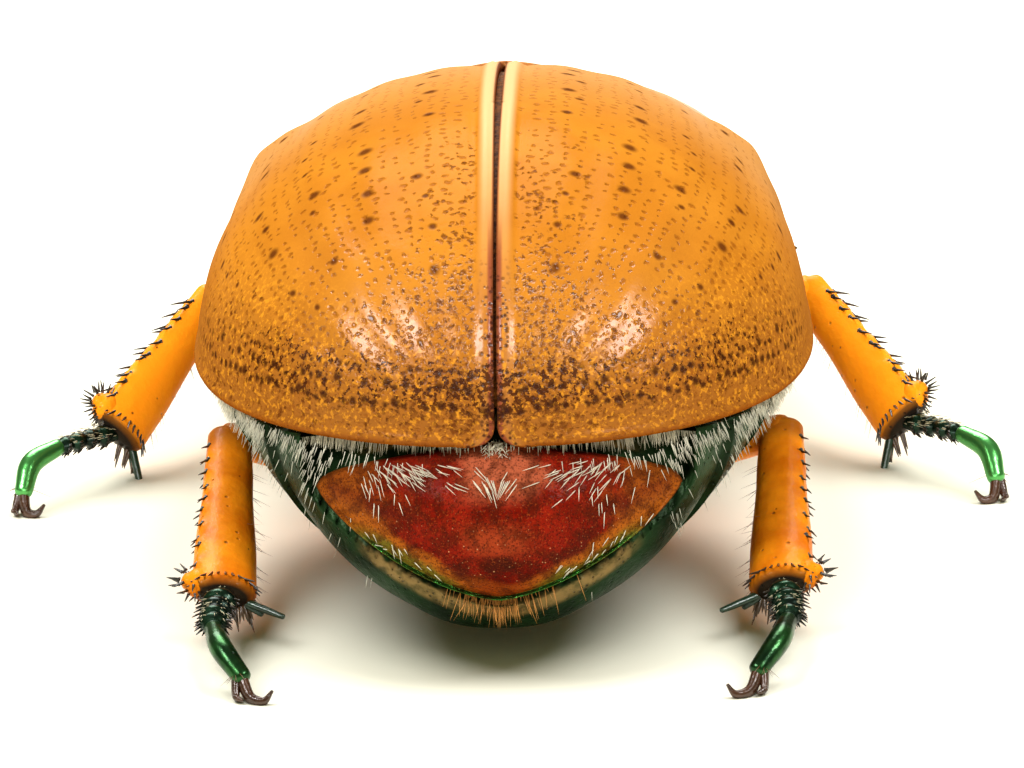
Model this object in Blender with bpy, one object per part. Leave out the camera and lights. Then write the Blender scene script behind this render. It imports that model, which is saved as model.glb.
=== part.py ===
"""A washerwoman christmas beetle at life size, standing on its claws.

Lengths are written in millimetres and become metres where a mesh is made. +Z is up, the head
looks along +Y, +X is the beetle's right, and the floor is z = 0 under the middle of the stance.
The right side is modelled and then mirrored.
"""

import math
import random

import bmesh
import bpy
from mathutils import Vector

MM = 0.001
GAP = 0.3
WELD = 0.002
UP = Vector((0, 0, 1))

# Wing cases: one dome over both, parted by a slit along the back
CASE_HALF_WIDTH = 6.84
CASE_SHOULDER_HALF_WIDTH = 5.96
CASE_BASE_Y = 4.6
CASE_PEAK_Y = -3.5
CASE_APEX_Y = -11.6
CASE_PEAK_Z = 9.99
CASE_BASE_DROP = 1.86
CASE_EDGE_Z = 4.35
CASE_APEX_RISE = 0.6
CASE_THICKNESS = 0.6
CASE_SLIT = 0.3
CASE_PLAN_POWER = 2.1
CASE_ARCH_POWER = 2.02
CORNER_RADIUS = 0.45
CORNER_REACH = 1.4
SHOULDER_BUMP = (5.76, 1.55, 0.86, 0.41)
HIND_BUMP = (3.1, -9.1, 1.0, 0.16)
CORE_INSET = CASE_THICKNESS + GAP

# Shield between the wing cases
SHIELD_HALF_WIDTH = 1.25
SHIELD_LENGTH = 1.4

# Belly: a row of half rings under the wing cases
BELLY_HALF_WIDTH = 6.5
BELLY_END_Y = -12.3
WAIST_Y = -1.75
THORAX_FRONT_Y = CASE_BASE_Y - 0.1
BELLY_PLATES = (-3.4, -5.3, -7.2, -9.0, -10.7)
BELLY_STEP = 0.14

# Tail plate
TAIL_HALF_WIDTH = 3.95
TAIL_CORNER_Z = 3.55
TAIL_TOP_Z = 4.62
TAIL_BOTTOM_Z = 1.6
TAIL_REACH_Y = -12.5
TAIL_THICKNESS = 0.6

# Neck shield (pronotum) and head
COLLAR_BASE_Y = CASE_BASE_Y + GAP
COLLAR_FRONT_Y = 9.6
COLLAR_HALF_WIDTH = 5.75
COLLAR_FRONT_HALF_WIDTH = 3.2
COLLAR_TOP_Z = 7.95
COLLAR_FRONT_TOP_Z = 6.1
COLLAR_EDGE_Z = 4.6
COLLAR_BELLY_Z = 1.9
EYE_CENTRE = (2.62, 10.35, 4.75)
EYE_RADII = (0.72, 0.85, 0.85)

CLAW_ROOT_RADIUS = 0.17
SPINE_RADIUS = 0.15
SPINE_SIDES = 5
LOBE_RADII = (0.33, 0.34, 0.3)

COLOURS = {
    "case_amber": ((0.72, 0.33, 0.05), 0.28, 0.0),
    "collar_brown": ((0.50, 0.20, 0.06), 0.30, 0.1),
    "head_bronze": ((0.42, 0.17, 0.07), 0.30, 0.2),
    "belly_green": ((0.03, 0.07, 0.05), 0.30, 0.5),
    "tail_red": ((0.30, 0.05, 0.02), 0.35, 0.2),
    "leg_amber": ((0.78, 0.30, 0.03), 0.30, 0.0),
    "foot_green": ((0.01, 0.10, 0.04), 0.22, 0.8),
    "feeler_brown": ((0.35, 0.12, 0.04), 0.40, 0.0),
    "eye_black": ((0.01, 0.01, 0.01), 0.15, 0.0),
}


def clear_scene():
    for old in list(bpy.data.objects):
        bpy.data.objects.remove(old)


def material(name):
    """The named finish, made once."""
    found = bpy.data.materials.get(name)
    if found:
        return found
    colour, roughness, metallic = COLOURS[name]
    made = bpy.data.materials.new(name)
    made.use_nodes = True
    shader = made.node_tree.nodes["Principled BSDF"]
    shader.inputs["Base Color"].default_value = (*colour, 1)
    shader.inputs["Roughness"].default_value = roughness
    shader.inputs["Metallic"].default_value = metallic
    return made


def blend_between(knots, at):
    """A smooth value at a place along (place, value) knots in rising order of place."""
    if at <= knots[0][0]:
        return knots[0][1]
    for (left, low), (right, high) in zip(knots, knots[1:]):
        if at <= right:
            share = (at - left) / (right - left)
            share = share * share * (3 - 2 * share)
            return low + (high - low) * share
    return knots[-1][1]


def mesh_object(name, points, faces, finish):
    """An object from points in millimetres, welded, with its faces turned outwards."""
    mesh = bpy.data.meshes.new(name)
    mesh.from_pydata([Vector(p) * MM for p in points], [], faces)
    shape = bmesh.new()
    shape.from_mesh(mesh)
    bmesh.ops.remove_doubles(shape, verts=shape.verts, dist=WELD * MM)
    bmesh.ops.recalc_face_normals(shape, faces=shape.faces)
    shape.to_mesh(mesh)
    shape.free()
    mesh.shade_smooth()
    mesh.materials.append(material(finish))
    made = bpy.data.objects.new(name, mesh)
    bpy.context.scene.collection.objects.link(made)
    return made


def loft(name, rings, finish):
    """A closed skin over rings of equal count. A ring of one point closes an end."""
    points, starts = [], []
    for ring in rings:
        starts.append(len(points))
        points.extend(ring)
    faces = []
    for first, second, a, b in zip(rings, rings[1:], starts, starts[1:]):
        count = max(len(first), len(second))
        for i in range(count):
            j = (i + 1) % count
            if len(first) == 1:
                faces.append((a, b + j, b + i))
            elif len(second) == 1:
                faces.append((a + i, a + j, b))
            else:
                faces.append((a + i, a + j, b + j, b + i))
    if len(rings[0]) > 1:
        faces.append(tuple(range(len(rings[0])))[::-1])
    if len(rings[-1]) > 1:
        faces.append(tuple(starts[-1] + i for i in range(len(rings[-1]))))
    return mesh_object(name, points, faces, finish)


def tube(name, path, radii, finish, out=UP, sides=10, round_start=True, round_end=True):
    """A skin along a path. radii holds (towards out, across) at each point."""
    path = [Vector(p) for p in path]
    out = Vector(out)
    rings = []
    for i, (centre, (along_out, across)) in enumerate(zip(path, radii)):
        ahead = path[min(i + 1, len(path) - 1)] - path[max(i - 1, 0)]
        ahead.normalize()
        outward = (out - ahead * out.dot(ahead)).normalized()
        side = ahead.cross(outward)
        rings.append(
            [
                centre
                + outward * math.cos(turn) * along_out
                + side * math.sin(turn) * across
                for turn in (2 * math.pi * k / sides for k in range(sides))
            ]
        )
    if round_start:
        back = (path[0] - path[1]).normalized() * min(radii[0]) * 0.6
        rings.insert(0, [path[0] + back])
    if round_end:
        ahead = (path[-1] - path[-2]).normalized() * min(radii[-1]) * 0.6
        rings.append([path[-1] + ahead])
    return loft(name, rings, finish)


def smooth_path(points, steps):
    """Points on a smooth curve through the given ones, steps to each stretch."""
    points = [Vector(p) for p in points]
    padded = [2 * points[0] - points[1], *points, 2 * points[-1] - points[-2]]
    curve = []
    for a, b, c, d in zip(padded, padded[1:], padded[2:], padded[3:]):
        for step in range(steps):
            t = step / steps
            curve.append(
                0.5
                * (
                    2 * b
                    + (c - a) * t
                    + (2 * a - 5 * b + 4 * c - d) * t**2
                    + (3 * b - a - 3 * c + d) * t**3
                )
            )
    return [*curve, points[-1]]


def ball(name, centre, radii, finish, rings=8, sides=14):
    """An ellipsoid with its poles up and down."""
    centre = Vector(centre)
    rows = [[centre - Vector((0, 0, radii[2]))]]
    for i in range(1, rings):
        tilt = math.pi * i / rings
        rows.append(
            [
                centre
                + Vector(
                    (
                        radii[0] * math.sin(tilt) * math.cos(turn),
                        radii[1] * math.sin(tilt) * math.sin(turn),
                        -radii[2] * math.cos(tilt),
                    )
                )
                for turn in (2 * math.pi * k / sides for k in range(sides))
            ]
        )
    rows.append([centre + Vector((0, 0, radii[2]))])
    return loft(name, rows, finish)


def spine(root, towards, length, radius=SPINE_RADIUS, finish="foot_green"):
    """A tapered spine, its root sunk into what carries it. A thick one has a full middle."""
    towards = Vector(towards).normalized()
    root = Vector(root)
    rings = [ring_round(root - towards * radius, towards, radius)]
    if radius > SPINE_RADIUS:
        rings.append(ring_round(root + towards * length * 0.45, towards, radius * 0.66))
    return loft("spine", [*rings, [root + towards * length]], finish)


def ring_round(centre, axis, radius, sides=SPINE_SIDES):
    """A round ring of points about an axis."""
    side = axis.cross(UP if abs(axis.z) < 0.9 else Vector((1, 0, 0))).normalized()
    other = axis.cross(side)
    return [
        centre + (side * math.cos(turn) + other * math.sin(turn)) * radius
        for turn in (2 * math.pi * k / sides for k in range(sides))
    ]


def keep_largest(made):
    """Drops loose scraps and sealed hollows: only the biggest closed surface stays."""
    shape = bmesh.new()
    shape.from_mesh(made.data)
    bmesh.ops.remove_doubles(shape, verts=shape.verts, dist=WELD * MM)
    left = set(shape.faces)
    islands = []
    while left:
        island, reach = set(), [left.pop()]
        while reach:
            face = reach.pop()
            island.add(face)
            for edge in face.edges:
                for other in edge.link_faces:
                    if other in left:
                        left.discard(other)
                        reach.append(other)
        islands.append(island)
    islands.sort(key=lambda island: sum(face.calc_area() for face in island))
    scraps = [face for island in islands[:-1] for face in island]
    bmesh.ops.delete(shape, geom=scraps, context="FACES")
    loose = [vert for vert in shape.verts if not vert.link_faces]
    bmesh.ops.delete(shape, geom=loose, context="VERTS")
    bmesh.ops.triangulate(shape, faces=shape.faces)
    shape.to_mesh(made.data)
    shape.free()
    return made


def combine(made, others, operation):
    """Joins the others to an object, or cuts them from it, and removes them."""
    helpers = bpy.data.collections.new("helpers")
    bpy.context.scene.collection.children.link(helpers)
    for other in others:
        helpers.objects.link(other)
    modifier = made.modifiers.new(operation, "BOOLEAN")
    modifier.operation = operation
    modifier.operand_type = "COLLECTION"
    modifier.collection = helpers
    modifier.solver = "EXACT"
    bpy.context.view_layer.update()
    graph = bpy.context.evaluated_depsgraph_get()
    result = bpy.data.meshes.new_from_object(made.evaluated_get(graph))
    made.modifiers.clear()
    made.data = result
    for other in others:
        bpy.data.objects.remove(other)
    bpy.data.collections.remove(helpers)
    keep_largest(made)
    made.data.shade_smooth()
    return made


def join(made, others):
    return combine(made, others, "UNION") if others else made


def cut(made, *cutters):
    return combine(made, list(cutters), "DIFFERENCE")


def mirrored(made, name):
    """The same piece on the other side of the body."""
    mesh = made.data.copy()
    mesh.name = name
    for vert in mesh.vertices:
        vert.co.x = -vert.co.x
    mesh.flip_normals()
    other = bpy.data.objects.new(name, mesh)
    bpy.context.scene.collection.objects.link(other)
    return other


def pair(made, stem):
    """Names a right-hand piece and adds its left-hand twin."""
    made.name = f"{stem}_right"
    made.data.name = made.name
    mirrored(made, f"{stem}_left")


# The dome of the wing cases, which the body below follows at a smaller size


def case_edge_z(y):
    """Height of the wing cases' lower edge, which rises towards the apex."""
    share = max(0.0, min(1.0, (-4.0 - y) / (-4.0 - CASE_APEX_Y)))
    return CASE_EDGE_Z + CASE_APEX_RISE * share**1.4


def case_front_share(y):
    return (y - CASE_PEAK_Y) / (CASE_BASE_Y - CASE_PEAK_Y)


def case_half_width(y, inset=0.0):
    """Half the width of both wing cases in plan."""
    if y >= CASE_PEAK_Y:
        share = min(1.0, case_front_share(y))
        width = CASE_HALF_WIDTH
        width -= (CASE_HALF_WIDTH - CASE_SHOULDER_HALF_WIDTH) * share**1.7
        width -= 0.55 * max(0.0, (share - 0.86) / 0.14) ** 2
        return width - inset
    reach = (CASE_PEAK_Y - y) / (CASE_PEAK_Y - CASE_APEX_Y - inset)
    if reach >= 1:
        return 0.0
    plan = CASE_PLAN_POWER
    return (CASE_HALF_WIDTH - inset) * (1 - reach**plan) ** (1 / plan)


def bump(x, y, place):
    side, along, radius, height = place
    away = (abs(x) - side) ** 2 + (y - along) ** 2
    return height * math.exp(-away / radius**2)


def case_height(x, y, inset=0.0):
    """Height of the dome over a point of the plan."""
    if y >= CASE_PEAK_Y:
        crest = CASE_PEAK_Z - CASE_BASE_DROP * case_front_share(y) ** 1.9
        reach = abs(x) / case_half_width(y, inset)
    else:
        crest = CASE_PEAK_Z
        plan = CASE_PLAN_POWER
        ahead = (CASE_PEAK_Y - y) / (CASE_PEAK_Y - CASE_APEX_Y - inset)
        aside = abs(x) / (CASE_HALF_WIDTH - inset)
        reach = (ahead**plan + aside**plan) ** (1 / plan)
    arch = CASE_ARCH_POWER
    rise = max(0.0, 1 - min(1.0, reach) ** arch) ** (1 / arch)
    lift = bump(x, y, SHOULDER_BUMP) + bump(x, y, HIND_BUMP)
    edge = case_edge_z(y)
    return edge + (crest - inset - edge) * rise + lift * min(1.0, 2 * rise)


def case_surface(inset, across=10, front=7, rear=9):
    """Rows of points over the right half of the dome, from its base round to the slit."""
    rows = []
    lateral = [math.sin(math.pi / 2 * i / across) for i in range(across)]
    lateral += [0.9975, 1.0]
    for step in range(front):
        y = CASE_BASE_Y + (CASE_PEAK_Y - CASE_BASE_Y) * step / front
        width = case_half_width(y, inset)
        rows.append([(width * share, y) for share in lateral])
    length = CASE_PEAK_Y - CASE_APEX_Y - inset
    width = CASE_HALF_WIDTH - inset
    plan = CASE_PLAN_POWER
    for step in range(rear + 1):
        turn = math.pi / 2 * (1 - step / rear)
        aside, behind = math.sin(turn), math.cos(turn)
        reach = ((aside / width) ** plan + (behind / length) ** plan) ** (-1 / plan)
        rows.append(
            [
                (aside * reach * share, CASE_PEAK_Y - behind * reach * share)
                for share in lateral
            ]
        )
    slit = CASE_SLIT / 2
    surface = []
    for row in rows:
        surface.append([])
        for x, y in row:
            z = case_height(x, y, inset)
            aside = slit + x * (1 - slit / width) + corner_opening(x, y, z)
            surface[-1].append(Vector((aside, y, z)))
    return surface


def corner_opening(x, y, z):
    """How far the rounded inner corner at the apex stands back from the slit."""
    left = max(0.0, CORNER_RADIUS - (z - case_edge_z(y)))
    opening = CORNER_RADIUS - math.sqrt(CORNER_RADIUS**2 - left**2)
    near = max(0.0, 1 - x / CORNER_REACH)
    return opening * near * near


def wing_case():
    """One wing case: a shell, open below, with its base notched for the shield."""
    outer = case_surface(0.0)
    inner = case_surface(CASE_THICKNESS)
    rows, columns = len(outer), len(outer[0])
    points = [p for row in outer for p in row] + [p for row in inner for p in row]
    shift = rows * columns

    def at(row, column):
        return row * columns + column

    faces = []
    for row in range(rows - 1):
        for column in range(columns - 1):
            quad = (
                at(row, column),
                at(row, column + 1),
                at(row + 1, column + 1),
                at(row + 1, column),
            )
            faces.append(quad)
            faces.append(tuple(shift + i for i in reversed(quad)))
    rim = [at(0, c) for c in range(columns)]
    rim += [at(r, columns - 1) for r in range(1, rows)]
    rim += [at(rows - 1, c) for c in range(columns - 2, -1, -1)]
    rim += [at(r, 0) for r in range(rows - 2, 0, -1)]
    for a, b in zip(rim, rim[1:] + rim[:1]):
        faces.append((b, a, shift + a, shift + b))
    made = mesh_object("wing_case", points, faces, "case_amber")
    return cut(made, shield("shield_room", GAP))


def shield(name, grow=0.0):
    """The small plate between the wing cases, with its top in the line of the dome."""
    rings = []
    for step in range(7):
        share = step / 6
        y = CASE_BASE_Y - (SHIELD_LENGTH + grow) * share
        width = (SHIELD_HALF_WIDTH + grow) * (1 - share**1.7) ** 0.8 + 0.02
        y = y + (1.0 if grow and step == 0 else 0.0)
        place = min(y, CASE_BASE_Y)
        ring = []
        for k in range(7):
            x = width * (1 - k / 3)
            ring.append(Vector((x, y, case_height(x, place) + 0.05 + 3 * grow)))
        for k in range(7):
            x = width * (k / 3 - 1)
            floor = case_height(x, place) - CASE_THICKNESS - 3 * grow
            ring.append(Vector((x, y, floor)))
        rings.append(ring)
    return loft(name, rings, "collar_brown")


# The body under the wing cases


def belly_half_width(y):
    if y >= CASE_PEAK_Y:
        share = max(0.0, case_front_share(y))
        return BELLY_HALF_WIDTH - 0.75 * share**1.7
    share = (CASE_PEAK_Y - y) / (CASE_PEAK_Y - BELLY_END_Y)
    return BELLY_HALF_WIDTH * math.sqrt(max(0.0, 1 - share**2))


def belly_bottom_z(y):
    return blend_between(
        ((-12.3, 1.7), (-11.3, 0.68), (-9.0, 0.66), (-3.0, 1.3), (5.0, 1.35)), y
    )


def belly_power(y):
    """How full the underside is: near 1 it is a keel, and above 2 a trough."""
    return blend_between(((-10.5, 2.5), (-8.5, 1.95), (-6.0, 1.5), (-3.0, 1.25)), y)


def body_ring(y, grow=0.0, step=0.0):
    """A ring of the body: the underside from left to right, then back over the top."""
    width = belly_half_width(y) + grow - step
    side_z = case_edge_z(y) - GAP
    bottom = belly_bottom_z(y) - grow + step
    power = belly_power(y)
    below, over = 16, 8
    ring = []
    for k in range(below + 1):
        turn = math.pi * k / below
        x = -math.cos(turn)
        x = math.copysign(abs(x) ** (2 / power), x) * width
        drop = math.sin(turn) ** (2 / power)
        ring.append(Vector((x, y, side_z - (side_z - bottom) * drop)))
    inner = max(0.3, case_half_width(y, CORE_INSET)) + grow
    for k in range(over + 1):
        x = inner * math.cos(math.pi * k / over)
        room = max(0.0, inner - abs(x))
        top = case_height(x * 0.999, y, CORE_INSET) if room > 0 else side_z + 0.15
        ring.append(Vector((x, y, max(side_z + 0.1, top) + grow)))
    return ring


def thorax(name, grow=0.0):
    """The wing-bearing middle of the body, with its keel and the peg between the legs."""
    front, back = THORAX_FRONT_Y + grow, WAIST_Y + GAP / 2 - grow
    steps = 6
    rings = [
        body_ring(min(back + (front - back) * k / steps, CASE_BASE_Y), grow)
        for k in range(steps + 1)
    ]
    for k, ring in enumerate(rings):
        y = back + (front - back) * k / steps
        for point in ring:
            point.y = y
    made = loft(name, rings, "belly_green")
    peg = tube(
        "peg",
        [(0, 1.2, 1.65), (0, 2.6, 1.5), (0, 4.0, 1.3), (0, 5.4, 1.15)],
        [(0.5, 0.75), (0.5, 0.75), (0.38, 0.5), (0.14 + grow, 0.14 + grow)],
        "belly_green",
    )
    return join(made, [peg])


def belly(name, grow=0.0):
    """The hind body, stepped at each of its overlapping plates."""
    stations = []
    plates = (WAIST_Y - GAP / 2 + grow, *BELLY_PLATES)
    for start, end in zip(plates, plates[1:]):
        stations.append((start, BELLY_STEP))
        stations.append((end + 0.06, 0.0))
    stations.append((BELLY_PLATES[-1], BELLY_STEP))
    for share in (0.3, 0.6, 0.82, 0.94):
        y = BELLY_PLATES[-1] + (BELLY_END_Y - BELLY_PLATES[-1]) * share
        stations.append((y, 0.0))
    rings = [body_ring(y, grow, 0.0 if grow else step) for y, step in stations]
    made = loft(name, rings, "belly_green")
    if grow:
        return made
    return cut(made, tail_plate("tail_room", grow=GAP))


def tail_face_y(x, z):
    """How far back the tail plate's outer face stands."""
    lift = z - 3.2
    return TAIL_REACH_Y + 0.15 * x * x + (0.45 if lift > 0 else 0.2) * lift * lift


def tail_plate(name, grow=0.0):
    """The bare plate at the end of the body: a wide triangle with blunt corners."""
    centre_z = 3.3
    spokes, hoops = 28, 4

    def outline(turn):
        aside, rise = math.cos(turn), math.sin(turn)
        high = TAIL_TOP_Z - TAIL_CORNER_Z + 4 * grow
        low = TAIL_CORNER_Z - TAIL_BOTTOM_Z + grow
        power = 1.5 if rise > 0 else 1.3
        tall = high if rise > 0 else low
        wide = TAIL_HALF_WIDTH + grow
        reach = (abs(aside / wide) ** power + abs(rise / tall) ** power) ** (-1 / power)
        return reach * aside, TAIL_CORNER_Z + reach * rise

    def hoop(share, back):
        ring = []
        for k in range(spokes):
            x, z = outline(2 * math.pi * k / spokes)
            x, z = x * share, centre_z + (z - centre_z) * share
            ring.append(Vector((x, tail_face_y(x, z) + back, z)))
        return ring

    outside = -3.0 if grow else 0.0
    inside = TAIL_THICKNESS + grow
    rings = [[Vector((0, tail_face_y(0, centre_z) + outside, centre_z))]]
    rings += [hoop(h / hoops, outside) for h in range(1, hoops + 1)]
    rings += [hoop(h / hoops, inside) for h in range(hoops, 0, -1)]
    rings.append([Vector((0, tail_face_y(0, centre_z) + inside, centre_z))])
    return loft(name, rings, "tail_red")


# The neck shield and the head


def collar_ring(y, grow=0.0, count=28):
    share = (y - COLLAR_BASE_Y) / (COLLAR_FRONT_Y - COLLAR_BASE_Y)
    share = max(0.0, min(1.0, share))
    bulge = (1 - share**1.9) ** 0.85
    width = COLLAR_FRONT_HALF_WIDTH
    width += (COLLAR_HALF_WIDTH - COLLAR_FRONT_HALF_WIDTH) * bulge
    top = COLLAR_TOP_Z - (COLLAR_TOP_Z - COLLAR_FRONT_TOP_Z) * share**1.25
    bottom = blend_between(((0.0, COLLAR_BELLY_Z), (0.5, 1.8), (1.0, 2.5)), share)
    ring = []
    for k in range(count):
        turn = 2 * math.pi * k / count
        power = 2.1 if math.sin(turn) > 0 else 1.6
        x = math.copysign(abs(math.cos(turn)) ** (2 / power), math.cos(turn))
        lift = abs(math.sin(turn)) ** (2 / power)
        end = top + grow if math.sin(turn) > 0 else bottom - grow
        z = COLLAR_EDGE_Z + (end - COLLAR_EDGE_Z) * lift
        ring.append(Vector((x * (width + grow), y, z)))
    return ring


def collar(name, grow=0.0):
    """The front body: the neck shield above and the breast plate below in one piece."""
    length = COLLAR_FRONT_Y - COLLAR_BASE_Y
    rings = [
        collar_ring(COLLAR_BASE_Y - grow + (length + 2 * grow) * k / 7, grow)
        for k in range(8)
    ]
    return loft(name, rings, "collar_brown")


def head_ring(y, width, top, bottom, grow, count=20):
    middle = (top + bottom) / 2
    ring = []
    for k in range(count):
        turn = 2 * math.pi * k / count
        x = math.copysign(abs(math.cos(turn)) ** 0.85, math.cos(turn))
        z = math.copysign(abs(math.sin(turn)) ** 0.85, math.sin(turn))
        half = (top - bottom) / 2 + grow
        ring.append(Vector((x * (width + grow), y, middle + z * half)))
    return ring


def head(name, grow=0.0):
    """The head, bowed forward, with its upturned lip plate and the mouth below."""
    stations = (
        (8.5, 2.1, 5.7, 3.3),
        (9.5, 2.55, 5.85, 2.9),
        (10.2, 2.65, 5.75, 2.7),
        (10.9, 2.45, 5.3, 2.7),
        (11.5, 2.1, 4.75, 2.85),
        (12.1, 1.85, 4.2, 3.1),
        (12.5, 1.7, 3.95, 3.3),
        (12.75, 1.45, 4.05, 3.45),
    )
    rings = [head_ring(y, w, t, b, grow) for y, w, t, b in stations]
    made = loft(name, rings, "head_bronze")
    if grow:
        return made
    mouth = ball("mouth", (0, 11.2, 2.7), (1.15, 0.8, 0.6), "head_bronze", 6, 12)
    return join(made, [mouth])


def eye():
    made = ball("eye", EYE_CENTRE, EYE_RADII, "eye_black", 7, 10)
    return cut(made, head("eye_room", 0.12))


FEELER_PATH = ((2.25, 11.2, 3.7), (2.8, 11.55, 3.4), (3.15, 11.75, 3.15), (3.5, 11.9, 2.95))
FEELER_REACH = (0.8, 0.5, -0.25)


def feeler_stalk():
    path = smooth_path(FEELER_PATH, 2)
    widths = [0.34, 0.34, 0.3, 0.27, 0.27, 0.28, 0.32]
    made = tube(
        "stalk", path, [(w, w) for w in widths], "feeler_brown", sides=8
    )
    return cut(made, head("stalk_room", GAP))


def feeler_club():
    """Three leaves that fan out from one root."""
    along = Vector(FEELER_REACH).normalized()
    across = along.cross(UP).normalized()
    root = Vector(FEELER_PATH[-1]) + along * 0.75
    bead = ball("bead", root, (0.34, 0.4, 0.3), "feeler_brown", 5, 8)
    leaves = []
    for spread in (-1, 0, 1):
        tilt = math.radians(30) * spread
        towards = along * math.cos(tilt) + across * math.sin(tilt)
        reach = 1.8 - 0.15 * abs(spread)
        path = [root + towards * reach * share for share in (0.12, 0.35, 0.68, 1.0)]
        size = ((0.2, 0.17), (0.4, 0.21), (0.44, 0.21), (0.26, 0.16))
        leaves.append(tube("leaf", path, size, "feeler_brown", sides=6))
    return join(bead, leaves)


def mouth_feeler():
    path = smooth_path(((1.1, 11.1, 2.4), (1.5, 11.9, 2.1), (1.45, 12.8, 2.35)), 3)
    widths = (0.24, 0.26, 0.22, 0.24, 0.27, 0.25, 0.2)
    made = tube("palp", path, [(w, w) for w in widths], "feeler_brown", sides=8)
    room = ball("palp_room", (0, 11.2, 2.7), (1.45, 1.1, 0.9), "head_bronze", 6, 12)
    return cut(made, head("palp_room_2", GAP), room)


# Legs. Places are those of the right leg; out is the way its spiny outer edge faces.

LEGS = {
    "hind": {
        "coxa": ((2.3, -2.35, 1.35), (1.75, 0.8, 0.62)),
        "hip": (1.9, -2.75, 0.95),
        "knee": (6.15, -4.35, 2.45),
        "ankle": (6.05, -9.75, 1.0),
        "out": (1, 0, 0.25),
        "femur": (1.0, 0.5),
        "tibia": (0.5, 0.72, 0.42),
        "tarsus": ((6.06, -10.0, 0.98), (6.17, -10.9, 1.0), (6.18, -11.7, 0.98)),
        "foot": ((6.16, -11.85, 0.97), (5.95, -12.7, 0.86), (5.5, -13.3, 0.45)),
        "claw": ((5.5, -13.3, 0.4), (5.32, -13.62, 0.1), (5.02, -13.76, 0.08), (4.84, -13.66, 0.26)),
        "short_claw": ((5.62, -13.3, 0.36), (5.62, -13.55, 0.11), (5.48, -13.74, 0.09)),
        "spur": (-0.85, -0.42, -0.1),
        "teeth": (),
    },
    "middle": {
        "coxa": ((2.05, 1.5, 1.35), (1.0, 1.0, 0.62)),
        "hip": (2.1, 1.55, 1.05),
        "knee": (6.9, 2.8, 3.2),
        "ankle": (8.95, -0.1, 1.15),
        "out": (0.5, 0.1, 0.9),
        "femur": (0.9, 0.5),
        "tibia": (0.46, 0.72, 0.42),
        "tarsus": ((9.1, -0.3, 1.08), (9.65, -0.75, 1.15), (10.2, -1.2, 1.15)),
        "foot": ((10.3, -1.28, 1.15), (10.85, -1.85, 0.98), (11.02, -2.35, 0.5)),
        "claw": ((11.02, -2.35, 0.45), (10.95, -2.6, 0.1), (10.72, -2.68, 0.08), (10.54, -2.6, 0.26)),
        "short_claw": ((11.12, -2.3, 0.38), (11.2, -2.52, 0.11), (11.14, -2.72, 0.09)),
        "spur": (-0.3, -0.3, -0.9),
        "teeth": (),
    },
    "fore": {
        "coxa": ((1.75, 6.9, 1.85), (1.05, 0.85, 0.65)),
        "hip": (1.9, 7.0, 1.5),
        "knee": (4.6, 9.35, 3.0),
        "ankle": (5.7, 11.7, 1.0),
        "out": (1, -0.3, 0.3),
        "femur": (0.88, 0.5),
        "tibia": (0.46, 0.66, 0.4),
        "tarsus": ((5.74, 11.9, 0.95), (5.88, 12.5, 0.92), (6.0, 13.0, 0.85)),
        "foot": ((6.01, 13.07, 0.84), (6.08, 13.4, 0.72), (5.97, 13.65, 0.45)),
        "claw": ((5.96, 13.6, 0.42), (5.88, 13.75, 0.1), (5.66, 13.83, 0.08), (5.48, 13.7, 0.26)),
        "short_claw": ((6.08, 13.55, 0.36), (6.18, 13.7, 0.11), (6.14, 13.87, 0.09)),
        "spur": (-0.6, 0.3, -0.5),
        "teeth": ((0.5, 0.3), (0.73, 0.42), (0.95, 0.55)),
    },
}


def femur(leg, name, grow=0.0):
    """The thigh, flat and widest at its middle."""
    hip, knee = Vector(leg["hip"]), Vector(leg["knee"])
    broad, thick = leg["femur"]
    widths = (0.62, 0.86, 1.0, 0.95, 0.78, 0.55, 0.46)
    depths = (0.85, 1.0, 1.05, 1.0, 0.95, 0.85, 0.75)
    last = len(widths) - 1
    path = [hip.lerp(knee, k / last) for k in range(last + 1)]
    radii = [(broad * w + grow, thick * d + grow) for w, d in zip(widths, depths)]
    out = (knee - hip).cross(UP)
    return tube(name, path, radii, "leg_amber", out=out, sides=10)


def tibia_frame(leg):
    knee, ankle = Vector(leg["knee"]), Vector(leg["ankle"])
    ahead = (ankle - knee).normalized()
    out = Vector(leg["out"])
    out = (out - ahead * out.dot(ahead)).normalized()
    return knee, ankle, ahead, out, ahead.cross(out)


def tibia_size(leg, share):
    """(half width towards the outer edge, half thickness) of the shin."""
    thin, wide, thick = leg["tibia"]
    grown = blend_between(((0.0, 0.0), (0.3, 0.25), (0.85, 0.9), (1.0, 1.0)), share)
    return thin + (wide - thin) * grown, thick * (0.82 + 0.25 * share)


def tibia_core(leg, name, grow=0.0):
    knee, ankle, ahead, out, side = tibia_frame(leg)
    steps = 5
    path, radii = [], []
    for k in range(steps + 1):
        share = k / steps
        path.append(knee.lerp(ankle, share))
        broad, thick = tibia_size(leg, share)
        radii.append((broad + grow, thick + grow))
    return tube(name, path, radii, "leg_amber", out=out, sides=10)


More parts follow.
